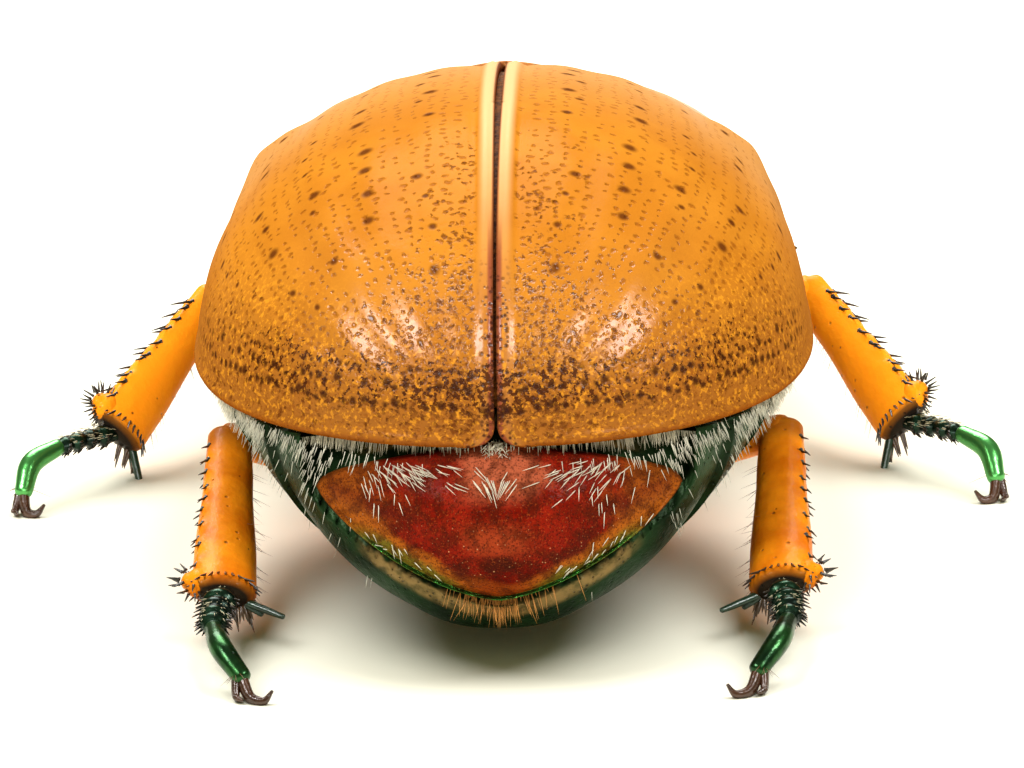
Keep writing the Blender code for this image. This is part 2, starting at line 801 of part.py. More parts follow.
def tibia(leg, seed):
    """The shin: two spiny ridges, a crown of spines, an outer lobe or teeth, and two spurs."""
    draw = random.Random(seed)
    knee, ankle, ahead, out, side = tibia_frame(leg)
    made = tibia_core(leg, "tibia")
    pieces = []
    length = (ankle - knee).length
    for share in (0.3, 0.42, 0.55, 0.68, 0.82):
        broad, thick = tibia_size(leg, share)
        for lean in (-0.45, 0.3):
            lean += draw.uniform(-0.1, 0.1)
            root = knee.lerp(ankle, share + 0.04 * lean)
            root += out * broad * 0.86 * math.cos(lean) + side * thick * math.sin(lean)
            towards = out * math.cos(lean) + side * math.sin(lean) + ahead * 0.9
            pieces.append(spine(root, towards, 0.42 + draw.uniform(-0.05, 0.08)))
    broad, thick = tibia_size(leg, 1.0)
    crown = 9
    for k in range(crown):
        turn = math.radians(-150 + 300 * k / (crown - 1))
        rim = out * broad * 0.82 * math.cos(turn) + side * thick * 0.82 * math.sin(turn)
        towards = ahead * 1.0 + rim.normalized() * 0.7
        pieces.append(spine(ankle - ahead * 0.1 + rim, towards, 0.5, 0.14))
    if not leg["teeth"]:
        lobe = ankle + out * broad * 0.9 - ahead * 0.1
        pieces.append(ball("lobe", lobe, LOBE_RADII, "leg_amber", 6, 8))
        for turn in (-80, -30, 25, 75):
            turn = math.radians(turn)
            towards = out * math.cos(turn) + ahead * math.sin(turn)
            pieces.append(spine(lobe + towards * 0.22, towards, 0.34, 0.12))
    for share, reach in leg["teeth"]:
        broad, thick = tibia_size(leg, share)
        root = knee.lerp(ankle, share) + out * broad * 0.5
        pieces.append(spine(root, out + ahead * 0.35, broad * 0.5 + reach, 0.34, "leg_amber"))
    spur = Vector(leg["spur"]).normalized()
    root = ankle - ahead * 0.18 - out * broad * 0.45
    for turn, reach in ((0.25, 0.95), (-0.45, 0.75)):
        towards = spur + side * turn + ahead * 0.3
        pieces.append(spine(root + side * turn * 0.5, towards, reach, 0.17))
    return join(made, pieces)


def tarsus_stations(leg):
    """Places of the joints between the four short foot pieces."""
    curve = smooth_path(leg["tarsus"], 8)
    return [curve[round(share * 16)] for share in (0, 0.28, 0.53, 0.77, 1.0)]


def tarsus(leg, seed):
    """Four short beads, each wider at its far end, with spines beneath."""
    draw = random.Random(seed)
    joints = tarsus_stations(leg)
    path, radii, spines = [], [], []
    for a, b in zip(joints, joints[1:]):
        ahead = (b - a).normalized()
        path += [a + ahead * 0.04, b - ahead * 0.13, b - ahead * 0.02]
        radii += [(0.24, 0.25), (0.32, 0.39), (0.29, 0.33)]
        side = ahead.cross(UP).normalized()
        for aside in (-1, 1):
            root = b - ahead * 0.14 + side * aside * 0.26 - UP * 0.12
            towards = ahead * 0.75 - UP * 0.45 + side * aside * 0.75
            spines.append(spine(root, towards, 0.32 + draw.uniform(0, 0.06), 0.12))
    return join(tube("tarsus", path, radii, "foot_green", sides=7), spines)


def foot_core(leg, name, grow=0.0):
    path = smooth_path(leg["foot"], 3)
    widths = (0.24, 0.25, 0.27, 0.3, 0.32, 0.31, 0.27)
    radii = [(w + grow, w + grow) for w in widths]
    return tube(name, path, radii, "foot_green", sides=8)


def foot(leg):
    """The long last foot piece with its two unequal claws, flat where they stand."""
    made = foot_core(leg, "foot")
    claws = []
    for key, size in (("claw", 1.0), ("short_claw", 0.85)):
        path = smooth_path(leg[key], 2)
        last = len(path) - 1
        radii = [
            (CLAW_ROOT_RADIUS * size * (1 - 0.72 * (k / last) ** 1.4),) * 2
            for k in range(last + 1)
        ]
        claws.append(tube("claw", path, radii, "foot_green", sides=6))
    join(made, claws)
    shape = bmesh.new()
    shape.from_mesh(made.data)
    everything = [*shape.verts, *shape.edges, *shape.faces]
    bmesh.ops.bisect_plane(
        shape, geom=everything, plane_co=(0, 0, 0), plane_no=(0, 0, -1), clear_outer=True
    )
    rim = [edge for edge in shape.edges if edge.is_boundary]
    bmesh.ops.holes_fill(shape, edges=rim)
    bmesh.ops.recalc_face_normals(shape, faces=shape.faces)
    shape.to_mesh(made.data)
    shape.free()
    return keep_largest(made)


def coxa(leg, name, grow=0.0):
    centre, radii = leg["coxa"]
    return ball(name, centre, [r + grow for r in radii], "belly_green", 7, 12)


def build_leg(place, seed):
    """One right leg from its root to its claws, each piece cut clear of what carries it."""
    leg = LEGS[place]
    root = coxa(leg, "coxa")
    if place == "fore":
        root = cut(root, collar("room", GAP))
    else:
        root = cut(root, thorax("room", GAP), belly("room_2", GAP))
    pair(root, f"{place}_coxa")
    thigh = femur(leg, "femur")
    bodies = [collar("room", GAP)] if place == "fore" else [thorax("room", GAP), belly("room_2", GAP)]
    pair(cut(thigh, coxa(leg, "room_3", GAP), *bodies), f"{place}_femur")
    shin = tibia(leg, seed)
    pair(cut(shin, femur(leg, "room", GAP)), f"{place}_tibia")
    pair(cut(tarsus(leg, seed + 1), tibia_core(leg, "room", GAP)), f"{place}_tarsus")
    toe = foot(leg)
    joints = tarsus_stations(leg)
    ahead = (joints[-1] - joints[-2]).normalized()
    stop = tube(
        "room",
        [joints[-2] - ahead * 0.3, joints[-2], joints[-1] + ahead * 0.1],
        [(0.6, 0.6), (0.62, 0.62), (0.64, 0.64)],
        "foot_green",
        sides=10,
    )
    pair(cut(toe, stop), f"{place}_foot")


def build_beetle():
    pair(wing_case(), "wing_case")
    shield("shield")
    thorax("thorax")
    belly("belly")
    tail_plate("tail_plate")
    front = collar("collar")
    cut(front, head("head_room", GAP))
    head("head")
    pair(eye(), "eye")
    pair(feeler_stalk(), "feeler_stalk")
    pair(feeler_club(), "feeler_club")
    pair(mouth_feeler(), "mouth_feeler")
    for seed, place in enumerate(LEGS):
        build_leg(place, 10 * seed + 3)


clear_scene()
build_beetle()
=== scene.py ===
"""The washerwoman christmas beetle as it looks: every plate, leg, spine and hair over the solids.

Lengths are written in millimetres and become metres where a mesh is made. +Y is the way the head
points and +X is the beetle's right, as in the solids.
"""

import math
import random

import bmesh
import bpy
import numpy as np
from mathutils import Matrix, Vector


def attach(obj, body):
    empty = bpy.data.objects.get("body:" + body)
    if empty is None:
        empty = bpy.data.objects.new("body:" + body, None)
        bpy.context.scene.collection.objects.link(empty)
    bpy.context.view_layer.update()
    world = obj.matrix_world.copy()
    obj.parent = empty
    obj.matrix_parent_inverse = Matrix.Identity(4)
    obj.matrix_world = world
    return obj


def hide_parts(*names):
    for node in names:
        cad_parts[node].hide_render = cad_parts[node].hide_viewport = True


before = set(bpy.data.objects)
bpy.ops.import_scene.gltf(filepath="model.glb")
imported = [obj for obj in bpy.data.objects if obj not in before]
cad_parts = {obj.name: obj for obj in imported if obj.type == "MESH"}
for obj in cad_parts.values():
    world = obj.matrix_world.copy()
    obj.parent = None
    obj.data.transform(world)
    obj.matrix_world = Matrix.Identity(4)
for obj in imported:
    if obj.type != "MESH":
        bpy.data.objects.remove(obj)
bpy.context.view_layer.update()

# The wing cases
# Two hard shells that meet along the back in a straight seam. Each is a single piece with a
# raised rim, a pale ridge beside the seam, and rows of brown pits that crowd together behind.

MM = 0.001
WELD = 0.002

CASE_HALF_WIDTH = 6.84
CASE_SHOULDER_HALF_WIDTH = 5.96
CASE_BASE_Y = 4.6
CASE_PEAK_Y = -3.5
CASE_APEX_Y = -11.6
CASE_PEAK_Z = 9.99
CASE_BASE_DROP = 1.86
CASE_EDGE_Z = 4.35
CASE_EDGE_RISE_Y = -4.0
CASE_APEX_RISE = 0.6
CASE_PLAN_POWER = 2.1
CASE_ARCH_POWER = 2.02
CASE_WALL = 0.45
# Place aside, place along, radius and height of each low bump.
SHOULDER_BUMP = (5.76, 1.55, 0.86, 0.41)
HIND_BUMP = (3.1, -9.1, 1.0, 0.16)
# Where on the way from the widest place to the base the shoulder rounds in, and how far.
SHOULDER_ROUNDING = (0.86, 0.55)
# The slit's half width behind and in front, and the places between which it opens.
SEAM_HALF_WIDTHS = (0.035, 0.08)
SEAM_OPENING_Y = (-8.5, -2.0)
CORNER_RADIUS = 0.45
CORNER_REACH = 1.4
# Height, place and half width of each ridge and groove that runs beside an edge.
MARGIN_RELIEF = ((0.07, 0.12, 0.1), (-0.035, 0.36, 0.12))
SEAM_RELIEF = ((0.06, 0.2, 0.12), (-0.04, 0.45, 0.12))
# Pits stand in rows along the case. Spacings are across the rows, then along them.
PIT_ROWS = 29
PIT_ROW_SPACING = 0.3
PIT_SPACING = 0.23
ROW_RIB = 0.015
ROW_RIB_MARGIN = 0.8
SPOT_SPACING = (1.2, 0.95)
RIM_PIT_SPACING = (0.25, 0.4)
COAT_ROUGHNESS = 0.08
LINING_HALF_WIDTH = 0.42
LINING_HALF_HEIGHT = 0.16
LINING_DROP = 0.2
LINING_ENDS_Y = (3.1, CASE_APEX_Y + 0.28)

CASE_PAINT = {
    "caramel": (0.39, 0.129, 0.009),
    "warm caramel": (0.44, 0.156, 0.012),
    "painted front sheen": (0.49, 0.232, 0.072),
    "painted side shade": (0.235, 0.076, 0.012),
    "seam ridge": (0.70, 0.40, 0.19),
    "low ridge": (0.32, 0.10, 0.010),
    "blush": (0.20, 0.035, 0.022),
    "painted_glints": (0.74, 0.29, 0.016),
    "lip": (0.22, 0.055, 0.005),
    "seam edge": (0.16, 0.04, 0.012),
    "fine pit": (0.22, 0.056, 0.005),
    "row pit": (0.20, 0.048, 0.003),
    "spot": (0.075, 0.016, 0.003),
    "crowded pit": (0.10, 0.022, 0.003),
    "blot": (0.050, 0.011, 0.003),
    "rim pit": (0.040, 0.010, 0.003),
    "seam pit": (0.035, 0.010, 0.008),
    "lining": (0.09, 0.025, 0.005),
    "lining streak": (0.24, 0.075, 0.012),
}


def case_edge_z(y):
    share = np.clip((CASE_EDGE_RISE_Y - y) / (CASE_EDGE_RISE_Y - CASE_APEX_Y), 0, 1)
    return CASE_EDGE_Z + CASE_APEX_RISE * share**1.4


def case_front_share(y):
    return (y - CASE_PEAK_Y) / (CASE_BASE_Y - CASE_PEAK_Y)


def case_half_width(y, inset=0.0):
    share = np.clip(case_front_share(y), 0, 1)
    front = CASE_HALF_WIDTH - (CASE_HALF_WIDTH - CASE_SHOULDER_HALF_WIDTH) * share**1.7
    start, rounding = SHOULDER_ROUNDING
    front = front - rounding * np.clip((share - start) / (1 - start), 0, None) ** 2 - inset
    reach = np.clip((CASE_PEAK_Y - y) / (CASE_PEAK_Y - CASE_APEX_Y - inset), 0, 1)
    rear = (CASE_HALF_WIDTH - inset) * (1 - reach**CASE_PLAN_POWER) ** (1 / CASE_PLAN_POWER)
    return np.where(np.asarray(y) >= CASE_PEAK_Y, front, rear)


def case_height(x, y, inset=0.0):
    """Height of the dome over points of the plan."""
    share = np.clip(case_front_share(y), 0, 1)
    crest = CASE_PEAK_Z - CASE_BASE_DROP * share**1.9
    front = np.abs(x) / np.maximum(case_half_width(y, inset), 0.01)
    ahead = np.clip((CASE_PEAK_Y - y) / (CASE_PEAK_Y - CASE_APEX_Y - inset), 0, None)
    aside = np.abs(x) / (CASE_HALF_WIDTH - inset)
    rear = (ahead**CASE_PLAN_POWER + aside**CASE_PLAN_POWER) ** (1 / CASE_PLAN_POWER)
    reach = np.clip(np.where(np.asarray(y) >= CASE_PEAK_Y, front, rear), 0, 1)
    rise = (1 - reach**CASE_ARCH_POWER) ** (1 / CASE_ARCH_POWER)
    lift = 0
    for side, along, radius, height in (SHOULDER_BUMP, HIND_BUMP):
        away = (np.abs(x) - side) ** 2 + (y - along) ** 2
        lift = lift + height * np.exp(-away / radius**2)
    edge = case_edge_z(y)
    return edge + (crest - inset - edge) * rise + lift * np.clip(2 * rise, 0, 1)


def rear_reach(aside, behind, inset=0.0):
    """How far out the rounded rear edge lies, in a direction from the widest place."""
    power = CASE_PLAN_POWER
    across = abs(aside) / (CASE_HALF_WIDTH - inset)
    along = behind / (CASE_PEAK_Y - CASE_APEX_Y - inset)
    return (across**power + along**power) ** (-1 / power)


def seam_half_width(y):
    """Half the slit between the wing cases, which is closer towards the apex."""
    rear, front = SEAM_OPENING_Y
    share = np.clip((y - rear) / (front - rear), 0, 1)
    close, wide = SEAM_HALF_WIDTHS
    return close + (wide - close) * share * share * (3 - 2 * share)


def corner_opening(y, z):
    """How far the rounded inner corner at the apex stands back from the slit."""
    left = np.clip(CORNER_RADIUS - (z - case_edge_z(y)), 0, CORNER_RADIUS)
    return CORNER_RADIUS - np.sqrt(CORNER_RADIUS**2 - left**2)


def crest_run(y):
    """Length along the back's crest from the base of the wing cases to y."""
    places = np.linspace(CASE_BASE_Y, CASE_APEX_Y, 800)
    heights = case_height(0 * places, places)
    run = np.concatenate([[0], np.cumsum(np.hypot(np.diff(places), np.diff(heights)))])
    return np.interp(-np.asarray(y), -places, run)


def relief_height(across, relief):
    """Height of a run of ridges and grooves, at a place across them."""
    lifts = [height * np.exp(-(((across - place) / width) ** 2)) for height, place, width in relief]
    return sum(lifts)


def grid_normals(points):
    """Outward unit normals of a grid of points, rows by columns."""
    normals = np.cross(np.gradient(points, axis=0), np.gradient(points, axis=1))
    return normals / np.maximum(np.linalg.norm(normals, axis=2, keepdims=True), 1e-9)


def grid_faces(rows, columns, closed=False):
    """Quads over a grid of points. closed also joins the last column to the first."""
    faces = []
    for row in range(rows - 1):
        for column in range(columns if closed else columns - 1):
            after = (column + 1) % columns
            first = row * columns
            second = first + columns
            faces.append((first + column, first + after, second + after, second + column))
    return faces


def closed_loft(rings):
    """Points and faces of a skin over equal rings, each end closed to its middle."""
    rings = np.array(rings, float)
    rows, columns = rings.shape[:2]
    faces = grid_faces(rows, columns, closed=True)
    ends = np.array([rings[0].mean(0), rings[-1].mean(0)])
    first, last = rows * columns, rows * columns + 1
    for column in range(columns):
        after = (column + 1) % columns
        faces.append((first, after, column))
        faces.append((last, (rows - 1) * columns + column, (rows - 1) * columns + after))
    return np.concatenate([rings.reshape(-1, 3), ends]), faces


def put(name, data):
    """An object for a mesh, a lamp or a camera, set in the scene."""
    made = bpy.data.objects.new(name, data)
    bpy.context.scene.collection.objects.link(made)
    return made


def add_vectors(mesh, label, values):
    """A vector at each point of a mesh, under a label."""
    layer = mesh.attributes.new(label, "FLOAT_VECTOR", "POINT")
    layer.data.foreach_set("vector", np.array([tuple(v) for v in values], np.float32).ravel())


def shape_object(name, parts, finishes, attributes=None):
    """A mesh object from (points in mm, faces, finish index) parts. Attributes go by point."""
    points, faces, slots = [], [], []
    for part_points, part_faces, slot in parts:
        start = len(points)
        points.extend(tuple(p) for p in part_points)
        faces.extend(tuple(start + i for i in face) for face in part_faces)
        slots.extend([slot] * len(part_faces))
    mesh = bpy.data.meshes.new(name)
    mesh.from_pydata([(x * MM, y * MM, z * MM) for x, y, z in points], [], faces)
    for finish in finishes:
        mesh.materials.append(finish)
    mesh.polygons.foreach_set("material_index", slots)
    for label, values in (attributes or {}).items():
        add_vectors(mesh, label, values)
    shape = bmesh.new()
    shape.from_mesh(mesh)
    bmesh.ops.remove_doubles(shape, verts=shape.verts, dist=WELD * MM)
    bmesh.ops.recalc_face_normals(shape, faces=shape.faces)
    shape.to_mesh(mesh)
    shape.free()
    mesh.shade_smooth()
    return put(name, mesh)


def settle(piece, slot, *nodes):
    """Joins a piece to the model's one body, in place of the solids that it stands for."""
    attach(piece, "root")
    if nodes:
        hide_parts(*nodes)


def settle_pair(piece, slot, node):
    """Settles a right-hand piece and the mirror twin that is made of it."""
    mesh = piece.data.copy()
    mesh.name = piece.name.replace("_right", "_left")
    mesh.transform(Matrix.Diagonal((-1, 1, 1, 1)))
    mesh.flip_normals()
    twin = put(mesh.name, mesh)
    settle(piece, slot, f"{node}_right")
    settle(twin, slot, f"{node}_left")


class Nodes:
    """Short words for filling a node tree. Each input takes a socket or a constant."""

    def __init__(self, tree):
        self.tree = tree

    def wire(self, source, target):
        if isinstance(source, bpy.types.NodeSocket):
            self.tree.links.new(source, target)
        else:
            target.default_value = source

    def node(self, kind, inputs, **settings):
        """A new node's outputs. Its inputs go by label or by number."""
        made = self.tree.nodes.new(kind)
        for label, value in settings.items():
            setattr(made, label, value)
        for label, source in inputs.items():
            self.wire(source, made.inputs[label])
        return made.outputs

    def calculate(self, operation, *values):
        return self.node("ShaderNodeMath", dict(enumerate(values)), operation=operation)[0]

    def times(self, first, *masks):
        for mask in masks:
            first = self.calculate("MULTIPLY", first, mask)
        return first

    def vector(self, operation, *values):
        made = self.node("ShaderNodeVectorMath", dict(enumerate(values)), operation=operation)
        return made["Value" if operation == "LENGTH" else "Vector"]

    def ramp(self, value, low, high, start=0.0, end=1.0):
        """A smooth step from start at low to end at high."""
        labels = ("Value", "From Min", "From Max", "To Min", "To Max")
        inputs = dict(zip(labels, (value, low, high, start, end)))
        return self.node("ShaderNodeMapRange", inputs, interpolation_type="SMOOTHSTEP")["Result"]

    def split(self, vector):
        return self.node("ShaderNodeSeparateXYZ", {0: vector})


def pit_group(dimensions):
    """Round pits, one to a cell: a mask that is 1 in a pit, from cell places and sizes in mm."""
    group = bpy.data.node_groups.new("pits_" + dimensions, "ShaderNodeTree")
    for label in ("Cells", "Cell Size"):
        group.interface.new_socket(label, in_out="INPUT", socket_type="NodeSocketVector")
    for label in ("Randomness", "Radius", "Presence"):
        group.interface.new_socket(label, in_out="INPUT", socket_type="NodeSocketFloat")
    group.interface.new_socket("Mask", in_out="OUTPUT", socket_type="NodeSocketFloat")
    tree = Nodes(group)
    given = tree.node("NodeGroupInput", {})
    inputs = {"Vector": given["Cells"], "Randomness": given["Randomness"], "Scale": 1}
    cells = tree.node("ShaderNodeTexVoronoi", inputs, voronoi_dimensions=dimensions)
    away = tree.vector("SUBTRACT", given["Cells"], cells["Position"])
    away = tree.vector("LENGTH", tree.vector("MULTIPLY", away, given["Cell Size"]))
    chance = tree.node("ShaderNodeSeparateColor", {0: cells["Color"]})
    smallest, spread, floor_share = 0.6, 0.7, 0.25
    radius = tree.calculate("MULTIPLY_ADD", chance[1], spread, smallest)
    radius = tree.times(radius, given["Radius"])
    mask = tree.ramp(away, tree.times(radius, floor_share), radius, 1.0, 0.0)
    here = tree.calculate("LESS_THAN", chance[0], given["Presence"])
    tree.node("NodeGroupOutput", {"Mask": tree.times(mask, here)})
    return group


PITS = {"2D": pit_group("2D"), "3D": pit_group("3D")}


class Finish(Nodes):
    """One material in the making: a Principled shader, and the colours laid down so far.

    plain is the colour that stands for it where the layers can't be read. sheen is the strength
    and the colour of the mirror light that the shell itself throws back.
    """

    def __init__(self, name, plain, roughness, metallic=0.0, coat=0.0, sheen=(0.5, (1, 1, 1))):
        self.material = bpy.data.materials.new(name)
        self.material.use_nodes = True
        super().__init__(self.material.node_tree)
        self.feed("Base Color", (*plain, 1))
        self.feed("Roughness", roughness)
        self.feed("Metallic", metallic)
        self.feed("Coat Weight", coat)
        self.feed("Coat Roughness", COAT_ROUGHNESS)
        self.feed("Specular IOR Level", sheen[0])
        self.feed("Specular Tint", (*sheen[1], 1))
        where = self.node("ShaderNodeTexCoord", {})["Object"]
        self.place = self.vector("MULTIPLY", where, (1 / MM, 1 / MM, 1 / MM))
        self.x, self.y, self.z = self.split(self.place)
        self.colour = plain

    def feed(self, label, source):
        self.wire(source, self.tree.nodes["Principled BSDF"].inputs[label])

    def point_values(self, label):
        """A point attribute as a vector, and its three numbers."""
        vector = self.node("ShaderNodeAttribute", {}, attribute_name=label)["Vector"]
        return vector, *self.split(vector)

    def noise(self, scale, detail, roughness):
        inputs = {"Vector": self.place, "Scale": scale, "Detail": detail, "Roughness": roughness}
        return self.node("ShaderNodeTexNoise", inputs)

    def cloud(self, scale, detail, roughness=0.55):
        """Soft noise, with features about 1 / scale across."""
        return self.noise(scale, detail, roughness)["Fac"]

    def drift(self, scale, detail, low, high, start=0.0, end=1.0):
        """A mask that comes and goes over the surface with soft noise."""
        return self.ramp(self.cloud(scale, detail), low, high, start, end)

    def ruffle(self, layer, scale, amount):
        """Shifts a layer's places by soft noise, so that what is drawn on it has ragged edges."""
        shift = self.vector("SUBTRACT", self.noise(scale, 2, 0.5)["Color"], (0.5, 0.5, 0.5))
        shift = self.vector("MULTIPLY", shift, (amount, amount, amount))
        return self.vector("ADD", layer, shift)

    def pits(self, place, cell, radius, presence, randomness=1.0):
        """Pits on a place vector in mm, cell being one spacing, or two for a flat layer's axes."""
        group = PITS["2D" if isinstance(cell, tuple) else "3D"]
        cell = (*cell, 0) if isinstance(cell, tuple) else (cell, cell, cell)
        scale = tuple(1 / size if size else 0 for size in cell)
        inputs = {
            "Cells": self.vector("MULTIPLY", place, scale),
            "Cell Size": cell,
            "Randomness": randomness,
            "Radius": radius,
            "Presence": presence,
        }
        return self.node("ShaderNodeGroup", inputs, node_tree=group)["Mask"]

    def lay(self, colour, *masks):
        """Lays a colour over the ones before, by the product of the masks, and returns that."""
        amount = self.times(*masks)
        before = (*self.colour, 1) if isinstance(self.colour, tuple) else self.colour
        inputs = {"Factor": amount, 6: before, 7: (*colour, 1)}
        self.colour = self.node("ShaderNodeMix", inputs, data_type="RGBA")[2]
        return amount

    def blend(self, dark, light, mask):
        """Starts the colours with a dark and a light shade of the shell."""
        self.colour = dark
        self.lay(light, mask)

    def done(self, height=None, depth=0.0, gloss_share=1.0):
        """The material, with its colours and a height in shares of depth fed to the shader.

        The clear outer coat follows a share of the depth.
        """
        self.feed("Base Color", self.colour)
        if height is not None:
            for share, socket in ((1.0, "Normal"), (gloss_share, "Coat Normal")):
                inputs = {"Distance": depth * share * MM, "Height": height}
                self.feed(socket, self.node("ShaderNodeBump", inputs)["Normal"])
        return self.material


def case_finish():
    """Caramel shell: pit rows, large spots, crowded dark pits behind, and the pale seam ridge."""
    shell = Finish("case_shell", (0.55, 0.2, 0.01), 0.4, coat=0.16, sheen=(0.0, (1.0, 0.55, 0.16)))
    shell.feed("Coat Roughness", 0.24)
    ramp, times, calculate, pits = shell.ramp, shell.times, shell.calculate, shell.pits
    x, y, z = shell.x, shell.y, shell.z
    rows = shell.point_values("rows")[0]
    edge, _, margin_gap, seam_gap = shell.point_values("edge")

    flank = calculate("MULTIPLY_ADD", ramp(seam_gap, 1.0, 3.6), 1.3, z)
    behind = times(ramp(flank, 9.2, 7.2), ramp(y, -3.5, -8.0))
    lowest = times(ramp(z, 7.2, 6.3), ramp(y, -6.0, -9.0))
    near_seam = ramp(seam_gap, 3.4, 0.3)
    clear = ramp(seam_gap, 0.34, 0.46)
    inside = ramp(margin_gap, 0.12, 0.2)

    spots = pits(shell.ruffle(rows, 4, 0.05), SPOT_SPACING, 0.17, 0.62, 0.45)
    spots = times(spots, ramp(margin_gap, 1.2, 1.8), ramp(seam_gap, 1.0, 1.3))
    spots = times(spots, ramp(lowest, 0.6, 0.2))
    radius = ramp(y, 3.0, -9.0, 0.056, 0.08)
    ragged_rows = shell.ruffle(rows, 7, 0.16)
    row_pits = pits(ragged_rows, (PIT_ROW_SPACING, PIT_SPACING), radius, 0.78, 0.5)
    row_pits = times(row_pits, clear, ramp(margin_gap, 0.9, 2.4, 0.25, 1.0))
    row_pits = times(row_pits, ramp(y, -7.0, -0.5, 1.0, 0.6))

    ragged_place = shell.ruffle(shell.place, 8, 0.22)
    crowd = times(calculate("MULTIPLY_ADD", near_seam, 0.45, 0.26), behind)
    beside = times(ramp(seam_gap, 2.2, 0.8), ramp(y, -3.5, -7.5))
    crowd = calculate("MULTIPLY_ADD", beside, 0.35, crowd)
    crowded = times(pits(ragged_place, 0.14, 0.078, crowd), times(clear, inside))
    fine_share = calculate("MULTIPLY_ADD", behind, 0.85, 0.08)
    fine = times(pits(ragged_place, 0.09, 0.046, 0.75), fine_share, clear)

    mottled = calculate("ADD", shell.drift(0.8, 4, 0.36, 0.64), 0.3)
    bound = times(calculate("MULTIPLY_ADD", near_seam, 0.085, -0.02), mottled)
    bound = calculate("ADD", bound, ramp(lowest, 0.0, 1.0, -0.3, -0.03))
    blots = ramp(calculate("ADD", shell.cloud(8.0, 3, 0.6), bound), 0.52, 0.56)
    blots = times(blots, ramp(margin_gap, 0.4, 1.0))

    rim_zone = times(ramp(margin_gap, 0.7, 0.8), ramp(y, -4, -7), ramp(margin_gap, 1.75, 1.6))
    rim_rows = times(pits(shell.ruffle(edge, 7, 0.14), RIM_PIT_SPACING, 0.12, 0.9, 0.4), rim_zone)

    paint = CASE_PAINT
    shell.blend(paint["caramel"], paint["warm caramel"], shell.drift(0.45, 3, 0.35, 0.65))
    # Painted sheen: the case is painted paler towards its front and top, in place of the light that
    # its top catches.
    shell.lay(paint["painted front sheen"], ramp(y, -5.0, 2.0, 0.0, 0.85))
    # Painted shade: the case is painted darker towards its side edges, where the dome turns away from
    # the light.
    shell.lay(paint["painted side shade"], ramp(margin_gap, 3.2, 0.6, 0.0, 0.75))
    ridge = ramp(seam_gap, 0.38, 0.20)
    shell.lay(paint["seam ridge"], ridge, ramp(y, -10.2, -4, 0.10, 0.85))
    low_ridge = times(ridge, ramp(y, -8.8, -10.6))
    seam_pits = times(pits(shell.place, 0.11, 0.06, 0.8), low_ridge)
    shell.lay(paint["low ridge"], low_ridge, 0.4)
    shell.lay(paint["blush"], ramp(seam_gap, 0.15, 0.08), ramp(y, -8, -9.5), 0.8)
    # Painted glints: pale yellow specks behind stand for highlights on the shell's fine relief.
    painted_glints = times(ramp(shell.cloud(8.5, 3, 0.6), 0.52, 0.62), ramp(z, 8.2, 6.6, 0.0, 0.5))
    shell.lay(paint["painted_glints"], painted_glints, ramp(y, -3.5, -8.0, 0.15, 1.0))
    shell.lay(paint["lip"], ramp(margin_gap, 0.2, 0.06), 0.85)
    shell.lay(paint["seam edge"], ramp(seam_gap, 0.06, 0.0))
    depth = 0.0
    for name, mask, strength, share in (
        ("fine pit", fine, 0.6, 0.5),
        ("row pit", row_pits, 0.62, 1.0),
        ("spot", spots, 0.9, 0.8),
        ("crowded pit", crowded, 0.8, 1.0),
        ("blot", blots, 0.92, 0.5),
        ("rim pit", rim_rows, 0.9, 1.0),
        ("seam pit", seam_pits, 0.9, 1.0),
    ):
        shell.lay(paint[name], mask, strength)
        depth = calculate("MULTIPLY_ADD", mask, share, depth)

    polish = ramp(calculate("ABSOLUTE", x), 5.0, 3.4, 0.02, 0.5)
    polish = times(polish, ramp(z, 5.6, 7.2, 0.15, 1.0), ramp(z, 8.8, 7.9, 0.1, 1.0))
    shell.feed("Coat Weight", polish)
    shell.feed("Roughness", shell.drift(6, 2, 0.3, 0.7, 0.34, 0.48))
    height = calculate("SUBTRACT", times(shell.cloud(3.0, 4), 0.7), depth)
    return shell.done(height, depth=0.03, gloss_share=0.5)


def case_points(columns=110, front=62, rear=96):
    """A grid over the right wing case, from its base round to the seam at its apex."""
    lateral = np.sin(np.linspace(0, math.pi / 2, columns))
    rows = []
    for y in np.linspace(CASE_BASE_Y, CASE_PEAK_Y, front, endpoint=False):
        rows.append(np.stack([case_half_width(y) * lateral, np.full(columns, y)], 1))
    for share in np.linspace(0, 1, rear):
        turn = math.pi / 2 * (1 - share)
        aside, behind = math.sin(turn), math.cos(turn)
        reach = rear_reach(aside, behind) * lateral
        rows.append(np.stack([aside * reach, CASE_PEAK_Y - behind * reach], 1))
    plan = np.array(rows)
    x, y = plan[..., 0], plan[..., 1]
    z = case_height(x, y)
    slit = seam_half_width(y)
    opening = corner_opening(y, z)
    near = np.clip(1 - x / CORNER_REACH, 0, 1) ** 2
    x = slit + x * (1 - slit / CASE_HALF_WIDTH) + opening * near
    return np.stack([x, y, z], 2), slit + opening


